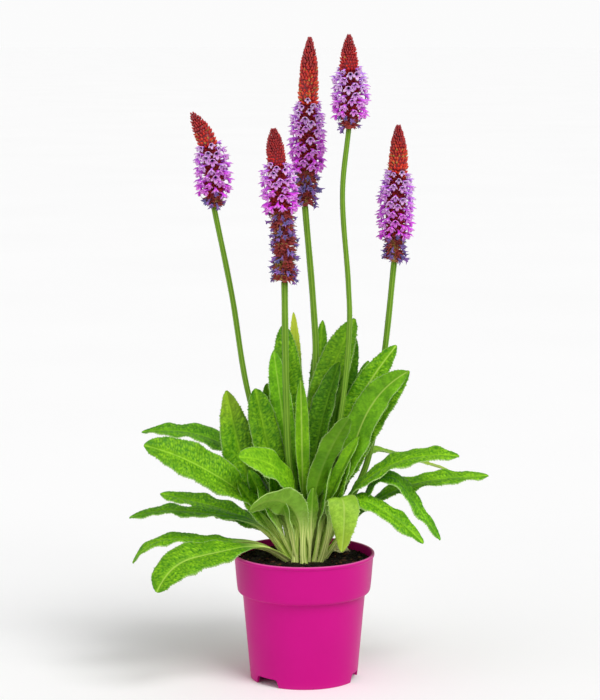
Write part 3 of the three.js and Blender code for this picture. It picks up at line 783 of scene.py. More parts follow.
@dataclass
class PeatFill:
    """The peat: a rough top with crumbs and bark bits, inside the pot's wall."""

    segments: int = 136
    top_rings: int = 34
    relief: float = 1.3
    wall_radius: float = 56.9
    hole_radius: float = 20.9
    hole_floor: float = 89.6
    crumbs: int = 800
    bark_share: float = 0.13

    def build(self) -> None:
        """Builds the fill and its crumbs."""
        inner = np.array([(22.0, 1.7), (25.4, 9.7), (43.8, 9.7), (50.2, 75.5), (54.2, 80.5), (55.3, 85.0)])
        top = np.linspace(self.wall_radius, self.hole_radius + 0.6, self.top_rings)
        radii = np.concatenate([inner[:, 0], top, [self.hole_radius] * 2])[:, None]
        hole = [SOIL_HEIGHT - 1.6, self.hole_floor]
        heights = np.concatenate([inner[:, 1], 0 * top + SOIL_HEIGHT, hole])[:, None]
        points = lathe(radii, heights, self.segments)
        x, y = points[..., 0], points[..., 1]
        rough = 0.55 * ripples(x, y, 14, 3) + 0.4 * ripples(x, y, 5, 4) + 0.3 * ripples(x, y, 2.6, 5)
        lifted = (radii >= self.hole_radius + 0.5) & (heights > 100)
        relief = np.clip(rough * self.relief, -self.relief, self.relief)
        points[..., 2] += lifted * (relief - 1.4 * smooth((radii - 52) / 5))
        skin = Skin(fields=("bark",))
        skin.tube(points)
        self.scatter(skin)
        hand_over(skin.mesh("peat_fill"), PottingPeat().build(), "soil", "soil")

    def scatter(self, skin: Skin) -> None:
        """Adds crumbs and bark bits, half sunk in the top.

        Args:
            skin: Where they go.
        """
        draw = np.random.default_rng(17)
        spin = turns(5)
        levels, girths = np.array([(-0.5, 0.9), (0.3, 1.0), (0.95, 0.45)]).T[..., None]
        for _ in range(self.crumbs):
            radius = math.sqrt(draw.uniform(24 ** 2, 55.5 ** 2))
            angle = draw.uniform(0, TURN)
            bark = draw.random() < self.bark_share
            size = draw.uniform(0.5, 1.5) * (1.3 if bark else 1.0)
            stretch = np.array([draw.uniform(1.2, 2.4) if bark else 1.1, 0.8, draw.uniform(0.45, 0.8)])
            heading = draw.uniform(0, TURN)
            uneven = girths * draw.uniform(0.7, 1.15, (3, 5))
            local = np.stack([uneven * np.cos(spin), uneven * np.sin(spin), levels + 0 * uneven], -1)
            cos, sin = math.cos(heading), math.sin(heading)
            turned = local * stretch * size @ np.array([[cos, sin, 0], [-sin, cos, 0], [0, 0, 1]])
            low = SOIL_HEIGHT + 0.35 - 1.2 * smooth((radius - 52) / 5)
            centre = np.array([radius * math.cos(angle), radius * math.sin(angle), low])
            skin.tube(centre + turned, bark=draw.uniform(0.5, 1.0) if bark else 0.0)


@dataclass
class Rootstock:
    """The crown: a low dome of old leaf bases that every stalk leaves from."""

    segments: int = 96
    depth: float = 12.0
    scales: int = 70

    def build(self) -> None:
        """Builds the dome and its scales."""
        rim = [CROWN_RADIUS - 1, CROWN_RADIUS, CROWN_RADIUS]
        radii = np.concatenate([rim, np.linspace(19.4, 0.5, 24)])[:, None]
        points = lathe(radii, crown_height(radii), self.segments)
        x, y = points[..., 0], points[..., 1]
        points[..., 2] += 0.25 * ripples(x, y, 4, 8) + 0.2 * ripples(x, y, 2, 9)
        floor = SOIL_HEIGHT - self.depth
        points[:3, :, 2] = np.array([floor, floor + 3, SOIL_HEIGHT - 1])[:, None]
        skin = Skin(fields=("scale",))
        skin.tube(points, scale=0.15)
        draw = np.random.default_rng(23)
        shares = np.array([0.0, 0.35, 0.75, 1.0])[:, None]
        shape = np.array([1.0, 0.95, 0.55, 0.1])[:, None] * flat_ring(0.4)
        for _ in range(self.scales):
            radius, angle = draw.uniform(4, 19.2), draw.uniform(0, TURN)
            out = np.array([math.cos(angle), math.sin(angle), 0.0])
            root = out * radius + WORLD_UP * (crown_height(radius) - 1.2)
            stance = leaning(root, out, WORLD_UP, math.radians(draw.uniform(35, 65)))
            length, girth = draw.uniform(3.0, 5.5), draw.uniform(1.2, 2.2)
            bend = draw.uniform(-20, 10)
            skin.sprout(stance, length * shares, girth * shape, bend, scale=0.4 + 0.6 * shares)
        hand_over(skin.mesh("rootstock"), FleshyRootstock().build(), "crown", "crown")


@dataclass
class WitheredScrap:
    """The dead leaf that lies on the peat at the right."""

    start: tuple[float, float] = (18.0, 20.0)
    end: tuple[float, float] = (39.5, 17.5)
    height: float = 103.6
    half: float = 4.4
    curl: float = 2.3
    lean: float = 1.9
    thickness: float = 0.35
    rows: int = 46
    columns: int = 15

    def build(self) -> None:
        """Builds the curled scrap."""
        share = np.linspace(0, 1, self.rows)[:, None]
        across = np.linspace(1, -1, self.columns)[None, :]
        start, end = np.array(self.start), np.array(self.end)
        along = unit(end - start)
        side = np.array([-along[1], along[0]])
        width = self.half * np.sin(math.pi * np.clip(share, 0.04, 0.97) ** 0.8) ** 0.6
        width = width * (1 + 0.18 * np.sin(share * 31) * np.sign(across))
        flat = start + (end - start) * share[..., None] + side * (across * width)[..., None]
        curl = self.curl * across ** 2 * (0.5 + 0.5 * np.sin(share * 9 + across))
        curl = curl + 0.3 * np.sin(share * 22 + across * 4)
        z = self.height + np.maximum(curl, 0) + self.lean * (1 + across) * width / self.half
        lower = np.dstack([flat, z])[:, ::-1]
        vein = np.exp(-(across * width / 0.5) ** 2) + 0.5 * (np.sin(share * 60 - np.abs(across) * 6) > 0.8)
        vein = np.clip(np.hstack([vein, vein[:, ::-1]]), 0, 1)
        skin = Skin(fields=("vein",))
        skin.tube(np.hstack([np.dstack([flat, z + self.thickness]), lower]), vein=vein)
        hand_over(skin.mesh("withered_scrap"), DriedLeaf().build(), "withered", "withered_leaf")


# Leaves


@dataclass(frozen=True)
class LeafPlan:
    """How one leaf grows: its seat on the crown, its heading, and how it bends, folds and turns."""

    name: str
    tone: Tone
    seat: tuple[float, float]
    heading: float
    rise: float
    length: float
    width: float
    fold: float
    roll: float
    droop: float = 0.0
    droop_at: float = 0.5
    over: float = 1.0
    nod: float = 0.0
    sweep: float = 0.0
    age: float = 0.0
    pale_rib: float = 0.2
    # How light the leaf's greens are, set leaf by leaf: its own tone, with painted shade on leaves deep in
    # the rosette such as middle_9 and middle_10 and painted light on the brightest such as left_3 and left_4
    tint: float = 0.5
    # Painted shade on one half of the blade: how strong, on its right half where above 0 and on its left
    # half where below
    shaded: float = 0.0
    blunt: float = 2.6
    crinkle: float = 1.0

    def directions(self, t: Array) -> tuple[Array, Array]:
        """Finds the way the midrib points.

        Args:
            t: Shares of the leaf's length.

        Returns:
            The directions, and the level direction across each.
        """
        bend = smooth((t - self.droop_at) / self.over + 0.5)
        pitch = np.radians(self.rise - self.droop * bend - self.nod * smooth((t - 0.62) / 0.4))
        heading = np.radians(self.heading + self.sweep * smooth((t - 0.2) / 0.8))
        level = np.cos(pitch)
        ahead = np.stack([level * np.cos(heading), level * np.sin(heading), np.sin(pitch)], -1)
        return ahead, np.stack([-np.sin(heading), np.cos(heading), 0 * heading], -1)

    def midrib(self, t: Array) -> Array:
        """Walks up the midrib from its seat.

        Args:
            t: Shares of the leaf's length.

        Returns:
            The points.
        """
        fine = np.arange(801) / 800
        ahead, _ = self.directions((fine[1:] + fine[:-1]) / 2)
        seat = np.array([*self.seat, crown_height(math.hypot(*self.seat))])
        path = seat + np.vstack([np.zeros(3), np.cumsum(ahead, 0) * self.length / 800])
        return np.stack([np.interp(t, fine, path[:, axis]) for axis in range(3)], -1)

    def half_width(self, t: Array) -> Array:
        """Shapes the outline: a narrow stalk, a blade that widens slowly, and a tip.

        Args:
            t: Shares of the leaf's length.

        Returns:
            Half the leaf's width at each.
        """
        stalk = 0.23 + 0.08 * np.maximum(1 - t / 0.1, 0) ** 2
        blade = stalk + (1 - stalk) * smooth((t - 0.15) / 0.47)
        tip = np.maximum((t - 0.66) / 0.34, 0)
        return self.width / 2 * blade * np.maximum(1 - tip ** self.blunt, 0.012) ** 0.62


LEAVES = (
    LeafPlan("left_1", DEEP, (-9, 8), 160, 76, 193, 30, 8, -14, 86, 0.52, 1.1, tint=0.75),
    LeafPlan("left_2", BRIGHT, (-12, -5), 192, 65, 165, 36, 10, -52, 34, 0.32, 0.7, 14,
             tint=0.6, pale_rib=0.4),
    LeafPlan("left_3", BRIGHT, (-13, 7), 155, 45, 134, 28, 8, -12, 38, 0.32, 0.8, tint=1.0),
    LeafPlan("left_4", DEEP, (-16, 1), 178, 64, 148, 26, 4, -8, 58, 0.22, 0.5, 24, tint=1.0),
    LeafPlan("left_5", DEEP, (-13, 12), 142, 47, 91, 26, 8, -12, 40, 0.3, 0.7, 6),
    LeafPlan("left_6", BRIGHT, (-18, -3), 183, 41, 139, 27, 3, -6, 38, 0.16, 0.34, 58, tint=0.8),
    LeafPlan("left_7", BRIGHT, (-14, -11), 210, 45, 138, 36, 4, -26, 50, 0.18, 0.5, 56,
             tint=0.6, pale_rib=0.9),
    LeafPlan("left_8", BRIGHT, (-11, 1), 170, 54, 152, 32, 12, -70, -24, 0.4, 0.9, shaded=1.3, blunt=1.4,
             tint=0.62, age=0.3),
    LeafPlan("middle_1", BRIGHT, (-6, 0), 172, 74, 146, 26, 12, -70, -4, blunt=3.4, tint=0.42),
    LeafPlan("middle_2", BRIGHT, (-3, 7), 118, 81, 195, 27, 10, -25),
    LeafPlan("middle_3", DEEP, (-2, 3), 150, 81, 174, 20, 16, -52, tint=0.8, crinkle=0.6, pale_rib=0.5),
    LeafPlan("middle_4", BRIGHT, (-6, 12), 136, 76, 147, 22, 12, -35, tint=0.6),
    LeafPlan("middle_5", PALE, (-1, 14), 98, 74, 208, 12, 24, 0, age=1.0),
    LeafPlan("middle_6", BRIGHT, (0, -8), 180, 89, 151, 14, 30, -80, crinkle=0.4, pale_rib=1.0, tint=0.42),
    LeafPlan("middle_7", BRIGHT, (3, 13), 64, 83, 199, 16, 14, 30, 4, 0.6, 0.9),
    LeafPlan("middle_8", BRIGHT, (8, 7), 16, 87, 206, 30, 10, 62, 26, 0.72, 0.7, tint=0.3, crinkle=0.85),
    LeafPlan("middle_9", DEEP, (2, 0), 5, 86, 167, 26, 36, 60, 14, 0.6, 0.8, tint=0.12),
    LeafPlan("middle_10", DEEP, (9, -1), 0, 84, 157, 13, 10, 80, 8, 0.6, 1, tint=0.2),
    LeafPlan("middle_11", DEEP, (12, 9), 34, 79, 187, 17, 14, 55, 2, 0.5, 1, tint=0.3),
    LeafPlan("middle_12", BRIGHT, (6, 16), 40, 70, 173, 18, 14, 30, 4, 0.5, 1),
    LeafPlan("right_1", BRIGHT, (16, 6), 15, 83, 194, 24, 12, 60, 34, 0.62, 0.9, tint=0.7, pale_rib=1.0),
    LeafPlan("right_2", DEEP, (11, -6), 350, 72, 182, 28, 14, 72, 50, 0.86, 0.6, tint=0.48, shaded=-0.6,
             crinkle=0.3, pale_rib=1.0),
    LeafPlan("right_3", BRIGHT, (15, 1), 2, 73, 177, 24, 12, 65, 26, 0.7, 0.8, tint=0.6),
    LeafPlan("right_4", BRIGHT, (1, -13), 332, 83, 133, 21, 8, -36, 28, 0.6, 0.9, tint=0.2, pale_rib=0.0,
             crinkle=0.45, blunt=5.0),
    LeafPlan("right_5", BRIGHT, (8, -10), 350, 78, 113, 15, 30, 55, 16, 0.5, 1, crinkle=0.5),
    LeafPlan("right_6", BRIGHT, (14, -3), 351, 74, 163, 32, 6, 16, 70, 0.5, 1.1, 8, tint=0.74),
    LeafPlan("right_7", BRIGHT, (18, 2), 8, 58, 166, 28, 6, 14, 56, 0.42, 0.9, tint=0.82),
    LeafPlan("right_8", DEEP, (17, -2), 354, 57, 163, 24, 3, 16, 112, 0.56, 0.22, tint=0.95),
    LeafPlan("right_9", BRIGHT, (16, -6), 340, 80, 136, 24, 3, 16, 108, 0.42, 0.5, 14, tint=0.78),
    LeafPlan("right_10", PALE, (10, 13), 34, 67, 196, 14, 12, 10, 86, 0.48, 0.4, age=0.5),
    LeafPlan("front_1", BRIGHT, (-8, -15), 212, 95, 127, 30, 3, -50, 88, 0.6, 0.9, tint=0.7, crinkle=0.7),
    LeafPlan("front_2", PALE, (-1, -18), 218, 89, 99, 31, 3, 44, 110, 0.58, 0.9, blunt=3.2, crinkle=0.8),
    LeafPlan("front_3", PALE, (14, -12), 335, 75, 113, 27, 3, 0, 150, 0.57, 0.3, sweep=-90, pale_rib=1.0,
             age=0.35, blunt=1.25, crinkle=0.35, tint=0.42),
    LeafPlan("back_1", BRIGHT, (-6, 16), 108, 50, 150, 34, 8, 0, 80, 0.5, 1),
    LeafPlan("back_2", DEEP, (0, 18), 76, 56, 155, 34, 8, 0, 84, 0.5, 1),
    LeafPlan("back_3", BRIGHT, (9, 16), 58, 42, 110, 28, 8, 0, 60, 0.5, 1),
)

# Small leaves that close the bundle of stalks, with no solid of their own
YOUNG_LEAVES = tuple(
    LeafPlan(str(number), BRIGHT, seat, heading, rise, length, width, 10, roll, tint=tint)
    for number, (seat, heading, rise, length, width, roll, tint) in enumerate((
        ((-7, -11), 205, 62, 74, 16, -50, 0.6), ((-11, -8), 192, 56, 80, 16, -60, 0.6),
        ((-5, -14), 222, 72, 62, 15, -20, 0.6), ((4, -15), 300, 84, 64, 15, 10, 0.6),
        ((8, -14), 335, 79, 82, 15, 30, 0.6), ((11, -9), 350, 73, 92, 16, 50, 0.6),
        ((-13, -3), 182, 66, 82, 16, -60, 0.6), ((-9, -4), 196, 75, 74, 16, -60, 0.5),
    ), 1)
)
# Each tone's crest, valley and underside greens: the crest green is painted light, the valley green painted
# shade
CREST_VALLEY_UNDER = {
    BRIGHT: ("#94ce1c", "#3c7c06", "#6ca416"),
    DEEP: ("#80c01c", "#347206", "#5c9a14"),
    PALE: ("#a2cc42", "#6c9e1e", "#8cc040"),
}


@dataclass
class Rosette:
    """Every leaf, puckered between side veins and toothed along its edge."""

    vein_step: float = 2.3
    cell_width: float = 4.4
    row_step: float = 0.96
    stalk_step: float = 2.0
    stalk_share: float = 0.2
    column_step: float = 1.2
    pucker: float = 0.8
    tooth: float = 1.7
    edge_thickness: float = 0.45
    rib_thickness: float = 1.3
    stalk_thickness: float = 2.4
    root_depth: float = 3.5
    wave: float = 1.3
    hair: float = 1.3

    def build(self) -> None:
        """Builds every leaf and hands it over."""
        finishes = {
            tone: PuckeredLeaf(f"{tone.name.lower()}_primrose_leaf", *colours).build()
            for tone, colours in CREST_VALLEY_UNDER.items()
        }
        for number, plan in enumerate(LEAVES + YOUNG_LEAVES):
            kind, node = ("primrose", f"leaf_{plan.name}") if number < len(LEAVES) else ("young", None)
            mesh = self.leaf(plan, number).mesh(f"{kind}_leaf_{plan.name}")
            hand_over(mesh, finishes[plan.tone], plan.tone.value, node)

    def leaf(self, plan: LeafPlan, seed: int) -> Skin:
        """Builds one leaf as closed rings across it, from its root to its tip, with down on its edge.

        Args:
            plan: How the leaf grows.
            seed: The draw's seed.

        Returns:
            The leaf's skin.
        """
        share = self.stalk_share
        stalk_rows = round(plan.length * share / self.stalk_step)
        blade_rows = round(plan.length * (1 - share) / self.row_step)
        t = np.concatenate([np.linspace(0, share, stalk_rows)[:-1], np.linspace(share, 1, blade_rows)])
        t = t[:, None]
        inner = max(round(plan.width / 2 / self.column_step), 5)
        fine = np.append(np.linspace(0, 0.92, inner), 1.0)
        coarse = np.append(np.linspace(0, 0.92, max(round(inner * 0.5), 5)), 1.0)
        upper, above = self.face(plan, t, np.concatenate([fine[::-1], -fine[1:]])[None, :], seed, False)
        lower, below = self.face(plan, t, np.concatenate([-coarse[::-1], coarse[1:]])[None, :], seed, True)
        ring = np.hstack([upper, lower])
        ahead, _ = plan.directions(t[:1, 0])
        values = {name: np.hstack([above[name], below[name]]) for name in above}
        skin = Skin(fields=tuple(values))
        skin.tube(
            np.concatenate([ring[:1] - ahead[:, None] * self.root_depth, ring]),
            **{name: np.concatenate([value[:1], value]) for name, value in values.items()},
        )
        blade = upper[stalk_rows + 4:-1]
        for edge, inward in ((0, 2), (-1, -3)):
            out = unit(blade[:, edge] - blade[:, inward])
            spread = hashed(np.arange(len(out)), seed)[:, None] - 0.5
            ways = unit(out + 0.9 * spread * unit(blade[:, edge] - np.roll(blade[:, edge], 1, 0)))
            ways[0] = out[0]
            skin.down(blade[:, edge], ways, self.hair, rim=1.0, tint=0.6)
        return skin

    def net(self, travel: Array, from_rib: Array, half: Array, seed: int) -> tuple[Array, Array]:
        """Parts the blade into cells between its net of veins.

        Args:
            travel: How far along the leaf each point is.
            from_rib: How far each point is from the midrib.
            half: Which half of the leaf each point is on.
            seed: The leaf's number.

        Returns:
            How far each point stands from the veins, 0 to 1, and a draw for its cell.
        """
        along = travel / self.vein_step + 0.5 * half
        across = from_rib / self.cell_width
        row, column = np.floor(along), np.floor(across)
        distances, draws = [], []
        for step in range(9):
            at_row, at_column = row + step // 3 - 1, column + step % 3 - 1
            number = at_row + half * 500.0
            near = along - at_row - 0.5 - 0.9 * (hashed(number, at_column, seed) - 0.5)
            side = across - at_column - 0.5 - 0.9 * (hashed(number + 0.37, at_column, seed) - 0.5)
            distances.append(np.hypot(near, side * 0.95))
            draws.append(hashed(number + 0.71, at_column, seed))
        order = np.argsort(distances, 0)
        ranked = np.take_along_axis(np.array(distances), order[:2], 0)
        cell = np.take_along_axis(np.array(draws), order[:1], 0)[0]
        return smooth((ranked[1] - ranked[0]) / 0.52) * (1 - 0.35 * ranked[0]), cell

    def face(self, plan: LeafPlan, t: Array, x: Array, seed: int,
             under: bool) -> tuple[Array, dict[str, Array]]:
        """Shapes one face of a leaf.

        Args:
            plan: How the leaf grows.
            t: Shares of the leaf's length, one a row.
            x: Shares of its half width, one a column, below 0 on its right.
            seed: The draw's seed.
            under: Whether it is the underside.

        Returns:
            The points, and the named values at each.
        """
        draw = np.random.default_rng(100 + seed)
        half = plan.half_width(t)
        away = np.abs(x)
        from_rib = away * half
        travel = t * plan.length
        right = (x < 0) * 1.0
        blade = smooth((t - 0.2) / 0.25) * (1 - smooth((t - 0.95) / 0.05))
        # Side veins slant forward, and bend a little on their way out
        slant = 0.5 + 0.12 * np.sin(travel / 31 + draw.uniform(0, TURN))
        warp = 1.3 * ripples(travel + 0 * x, x * half, 17, 200 + seed)
        slanted = travel - slant * from_rib + warp
        cell, draws = self.net(slanted, from_rib, right, seed)
        main = np.abs((slanted / self.vein_step / 2 + 0.25 * right) % 1.0 - 0.5) * 2
        cell = cell * (1 - 0.75 * smooth((main - 0.8) / 0.2) * (1 - smooth((away - 0.6) / 0.35)))
        broad = 0.5 + 0.5 * smooth((half - 3) / 8)
        mask = blade * broad * smooth((from_rib - 0.4) / 1.6) * (1 - 0.7 * smooth((away - 0.86) / 0.14))
        # Teeth stand out from the margin, slow to rise and quick to fall
        margin = smooth((away - 0.8) / 0.2)
        phase = travel / self.vein_step + 0.3 * right + 0.2 * np.sin(travel / 9 + seed)
        saw = phase % 1.0
        tooth = np.where(saw < 0.7, saw / 0.7, (1 - saw) / 0.3)
        tooth = tooth * (0.5 + 0.7 * hashed(np.floor(phase), right))
        depth = np.minimum(self.tooth, half * 0.2) * smooth((t - 0.22) / 0.2)
        out = x * half + np.sign(x) * margin * depth * (tooth - 0.45)
        # The blade folds up from the midrib, and its margin ruffles
        fold = np.radians(plan.fold + (28 - plan.fold) * (1 - smooth(t / 0.35)))
        soft = 0.22
        vee = (np.sqrt(x ** 2 + soft ** 2) - soft) / (math.sqrt(1 + soft ** 2) - soft)
        lift = half * np.sin(fold) * vee + 0.05 * half * np.sin(math.pi * away) * blade
        phases = draw.uniform(0, TURN, 4)
        ruffle = np.where(
            x > 0,
            np.sin(travel / 6.1 + phases[0]) + 0.6 * np.sin(travel / 2.9 + phases[1]),
            np.sin(travel / 5.4 + phases[2]) + 0.6 * np.sin(travel / 3.3 + phases[3]),
        )
        lift = lift + self.wave * blade * ruffle * away ** 3 * np.minimum(half / 12, 1)
        lift = lift + self.pucker * plan.crinkle * cell * mask - margin * blade * (0.35 + 0.4 * tooth)
        stalk = 1 - smooth((travel - 20) / 32) + 0 * x
        ridges = 0.5 + 0.5 * np.cos(away * math.pi * 5)
        if under:
            rib = self.rib_thickness + (self.stalk_thickness - self.rib_thickness) * (1 - smooth(t / 0.6))
            keel = np.exp(-(from_rib / (0.9 + 0.9 * (1 - smooth(t / 0.5)))) ** 2)
            thick = self.edge_thickness + (rib - self.edge_thickness) * keel
            lift = lift - thick - 0.22 * mask * (1 - cell) - 0.5 * stalk * ridges
        else:
            lift = lift - 0.5 * np.exp(-(from_rib / 0.8) ** 2) + 0.4 * stalk * ridges
        ahead, side = plan.directions(t[:, 0])
        roll = np.radians(plan.roll * smooth((t - 0.12) / 0.5))
        up = np.cross(ahead, side)
        side, up = side * np.cos(roll) + up * np.sin(roll), up * np.cos(roll) - side * np.sin(roll)
        across = (out * np.cos(fold))[..., None] * side[:, None]
        points = plan.midrib(t[:, 0])[:, None] + across + lift[..., None] * up[:, None]
        open_part = np.maximum(cell * mask, np.exp(-(from_rib / 1.4) ** 2))
        least = 0.3 + 0.7 * plan.pale_rib if under else plan.pale_rib
        shown = least + (1 - least) * (1 - smooth((t - 0.1) / 0.35))
        # Painted shade: the half named by shaded is darkened through the tint
        shade = abs(plan.shaded) * smooth(0.5 - x * math.copysign(6, plan.shaded))
        tint = plan.tint + 0.05 * draw.uniform(-1, 1) + 0.28 * (draws - 0.5) * mask - 0.3 * shade
        return points, {
            # puff is high on the pucker crests, where the crest green paints light, and low in the veins,
            # where the valley green paints shade
            "puff": (1 - plan.crinkle * (1 - open_part)) * (1 - stalk) + ridges * stalk,
            "rib": np.exp(-(from_rib / (1.0 if under else 0.55)) ** 2) * shown,
            "rim": smooth((away - 0.92) / 0.08) * blade,
            "stalk": stalk,
            "under": 0 * cell + under,
            "age": plan.age * smooth((t - 0.74) / 0.24) + 0 * x,
            "tint": tint * (1 - stalk) + 0.9 * stalk,
        }


# Flower spikes


@dataclass(frozen=True)
class SpikePlan:
    """Where one spike stands: its stem's route, its head's axis, and the heights that part the head."""

    stem_radius: float
    stem: tuple
    head: tuple
    flowers_from: float
    buds_from: float
    faded_reach: float
    bud_radius: float
    bud_blunt: float
    bud_size: float
    bud_warmth: float
    stem_scale: float
    ripeness: float

    def cone(self, rise: Amount) -> Amount:
        """Gives the bud cone's radius at a share of its height."""
        return (self.bud_radius - 0.3) * (1 - np.maximum(rise, 0.0) ** self.bud_blunt) + 0.9


SPIKES = (
    SpikePlan(2.2, ((-4, 6, 104), (-27, 16, 172), (-48, 22, 244), (-61, 27, 324), (-76, 33, 398)),
              ((-76, 33, 398), (-76, 34, 421), (-78, 35, 440), (-83, 36, 456), (-94, 37, 477)),
              408, 450, 4, 8, 2.3, 0.85, 0.75, 1.12, 0.15),
    SpikePlan(2.9, ((-4, -5, 104), (-9, -2, 158), (-13, -5, 191), (-15, -12, 256), (-16, -19, 340)),
              ((-16, -19, 340), (-16, -20, 360), (-18, -20, 389), (-20, -20, 412), (-25, -20, 467)),
              398, 437, 7.5, 7.5, 2.8, 0.68, 0.15, 1.0, 0.35),
    SpikePlan(2.6, ((1, 9, 104), (5, 17, 190), (10, 21, 273), (8, 24, 316), (1, 29, 399)),
              ((1, 29, 399), (3, 29, 434), (3, 30, 472), (4, 31, 505), (5, 32, 541)),
              428, 486, 4.5, 8.2, 2.7, 1.0, 0.95, 1.08, 0.15),
    SpikePlan(2.2, ((5, -4, 104), (30, -8, 220), (38, -8, 301), (37, -8, 338), (32, -8, 413), (37, -8, 466)),
              ((37, -8, 466), (38, -8, 488), (38, -8, 506), (37, -8, 520), (37, -8, 543)),
              475, 515, 3, 7.5, 1.9, 0.7, 0.35, 1.04, 0.0),
    SpikePlan(2.5, ((14, 11, 104), (36, 20, 142), (54, 27, 180), (69, 38, 274), (77, 45, 350)),
              ((77, 45, 350), (78, 46, 375), (78, 46, 400), (80, 46, 430), (80, 46, 467)),
              371, 427, 4, 8, 2.4, 0.85, 0.95, 1.08, 0.1),
)


@dataclass
class FlowerHead:
    """One spike's head: spent florets, open florets and buds, from the bottom up round its axis."""

    plan: SpikePlan
    draw: np.random.Generator
    core_radius: float = 3.6
    core_sides: int = 16
    spent_row: float = 5.0
    spent_round: int = 9
    spent_root: float = 1.9
    limp_share: float = 0.74
    floret_step: float = 0.66
    floret_root: float = 2.8
    tube: float = 10.9
    lobe_sizes: tuple[float, float, float, float] = (6.0, 5.3, 4.3, 2.4)
    mouth: float = 1.25
    bud_crowding: float = 0.68
    golden_turn: float = math.radians(137.508)

    def __post_init__(self) -> None:
        """Samples the axis through the plan's knots."""
        self.line = curve_through(self.plan.head, 240)
        self.ways = unit(np.gradient(self.line, axis=0))

    def frame(self, height: float, angle: float) -> tuple[Array, Array, Array]:
        """Finds the place on the axis at a height, and directions there.

        Args:
            height: The height.
            angle: Which way round the axis to look.

        Returns:
            The place, the direction out from the axis, and the direction along it.
        """
        at = self.line[:, 2]
        centre = np.array([np.interp(height, at, self.line[:, axis]) for axis in range(3)])
        along = unit(np.array([np.interp(height, at, self.ways[:, axis]) for axis in range(3)]))
        across = unit(np.cross(along, np.array([0.0, 1.0, 0.0])))
        depth = np.cross(along, across)
        return centre, across * math.cos(angle) + depth * math.sin(angle), along

    def stance(self, height: float, angle: float, stand: float, lean: float = 0.0) -> Stance:
        """Gives the stance of what starts this far out from the axis and leans up by an angle."""
        centre, out, along = self.frame(height, angle)
        return leaning(centre + out * stand, out, along, lean)

    def core(self, skin: Skin, low: float, high: float, radii: Array, **values: float) -> None:
        """Adds the part of the head's stalk that its florets hide.

        Args:
            skin: Where it goes.
            low: The height it starts at.
            high: The height it ends at.
            radii: Its radius at each ring, from the lowest up.
            values: The named values.
        """
        rings = [
            [self.stance(low + (high - low) * share, turn, radius)[0] for turn in turns(self.core_sides)]
            for share, radius in zip(np.linspace(0, 1, len(radii)), radii)
        ]
        skin.tube(np.array(rings), **values)

    def husk(self, skin: Skin, stance: Stance, size: float, bend: float, **values: float) -> None:
        """Adds a cup-shaped calyx with five teeth.

        Args:
            skin: Where it goes.
            stance: Where it starts and which way.
            size: Its size, where 1 is 6 mm long.
            bend: How far it turns, in degrees.
            values: The named values.
        """
        point = np.arange(10) % 2
        reach = np.array([0, 2.2, 4.1, 0, 4.0, 2.6])[:, None] + 0.0 * point
        reach[3] = np.where(point, 7.0, 4.2)
        radius = np.array([0.8, 1.65, 1.85, 2.05, 1.45, 1.2])[:, None] + 0.0 * point
        radius[3] = np.where(point, 2.7, 1.7)
        skin.sprout(stance, reach * size, radius * size, bend, **values)

    def spent(self) -> Skin:
        """Fills the lowest part with dry calyces and limp tubes.

        Returns:
            The skin.
        """
        skin = Skin(fields=("limp",))
        draw, low, high = self.draw, self.plan.head[0][2], self.plan.flowers_from
        widths = np.append(2.1, np.linspace(3.0, self.core_radius + 0.6, 9))
        self.core(skin, low - 0.6, high + 1, widths)
        rows = max(round((high - low) / self.spent_row), 2)
        for row in range(rows):
            for index in range(self.spent_round):
                angle = (index + 0.5 * (row % 2) + draw.uniform(-0.2, 0.2)) / self.spent_round * TURN
                height = low + 1.5 + (row + 0.5) * (high - low - 1.5) / rows + draw.uniform(-1.0, 1.0)
                stance = self.stance(height, angle, self.spent_root, math.radians(draw.uniform(-16, 38)))
                bend = draw.uniform(5, 40)
                self.husk(skin, stance, draw.uniform(0.85, 1.15) + 0.08 * (self.plan.faded_reach - 4), bend)
                if draw.random() < self.limp_share:
                    self.limp_tube(skin, stance)
        return skin

    def limp_tube(self, skin: Skin, stance: Stance) -> None:
        """Adds a shrivelled floret: a thin tube that ends in a dry, crooked star.

        Args:
            skin: Where it goes.
            stance: Where it starts and which way.
        """
        tube = min(self.plan.faded_reach, 4.8) + self.draw.uniform(3.0, 6.2)
        lobes = np.repeat(self.draw.uniform(0.4, 1.15, 5), 4) * np.tile([0.15, 0.62, 1.0, 0.55], 5)
        # Each ring: share of the lobe, plain radius, how far past the mouth
        lobe, girth, past = np.array((
            (0.0, 0.65, -tube), (0.0, 0.7, -0.5 * tube), (0.0, 0.95, -0.8), (0.4, 0.9, 0.0), (1.0, 0.6, 0.3),
            (0.45, 0.6, 0.35), (0.0, 0.35, -0.2),
        )).T[..., None]
        crumple = self.draw.uniform(0.8, 1.2, (len(lobe), 20))
        radius = (girth + lobe * 2.9 * lobes) * crumple
        reaches = tube + past + lobe * self.draw.uniform(0.4, 2.4) * lobes * crumple
        skin.sprout(stance, reaches, radius, self.draw.uniform(15, 100), limp=1.0)

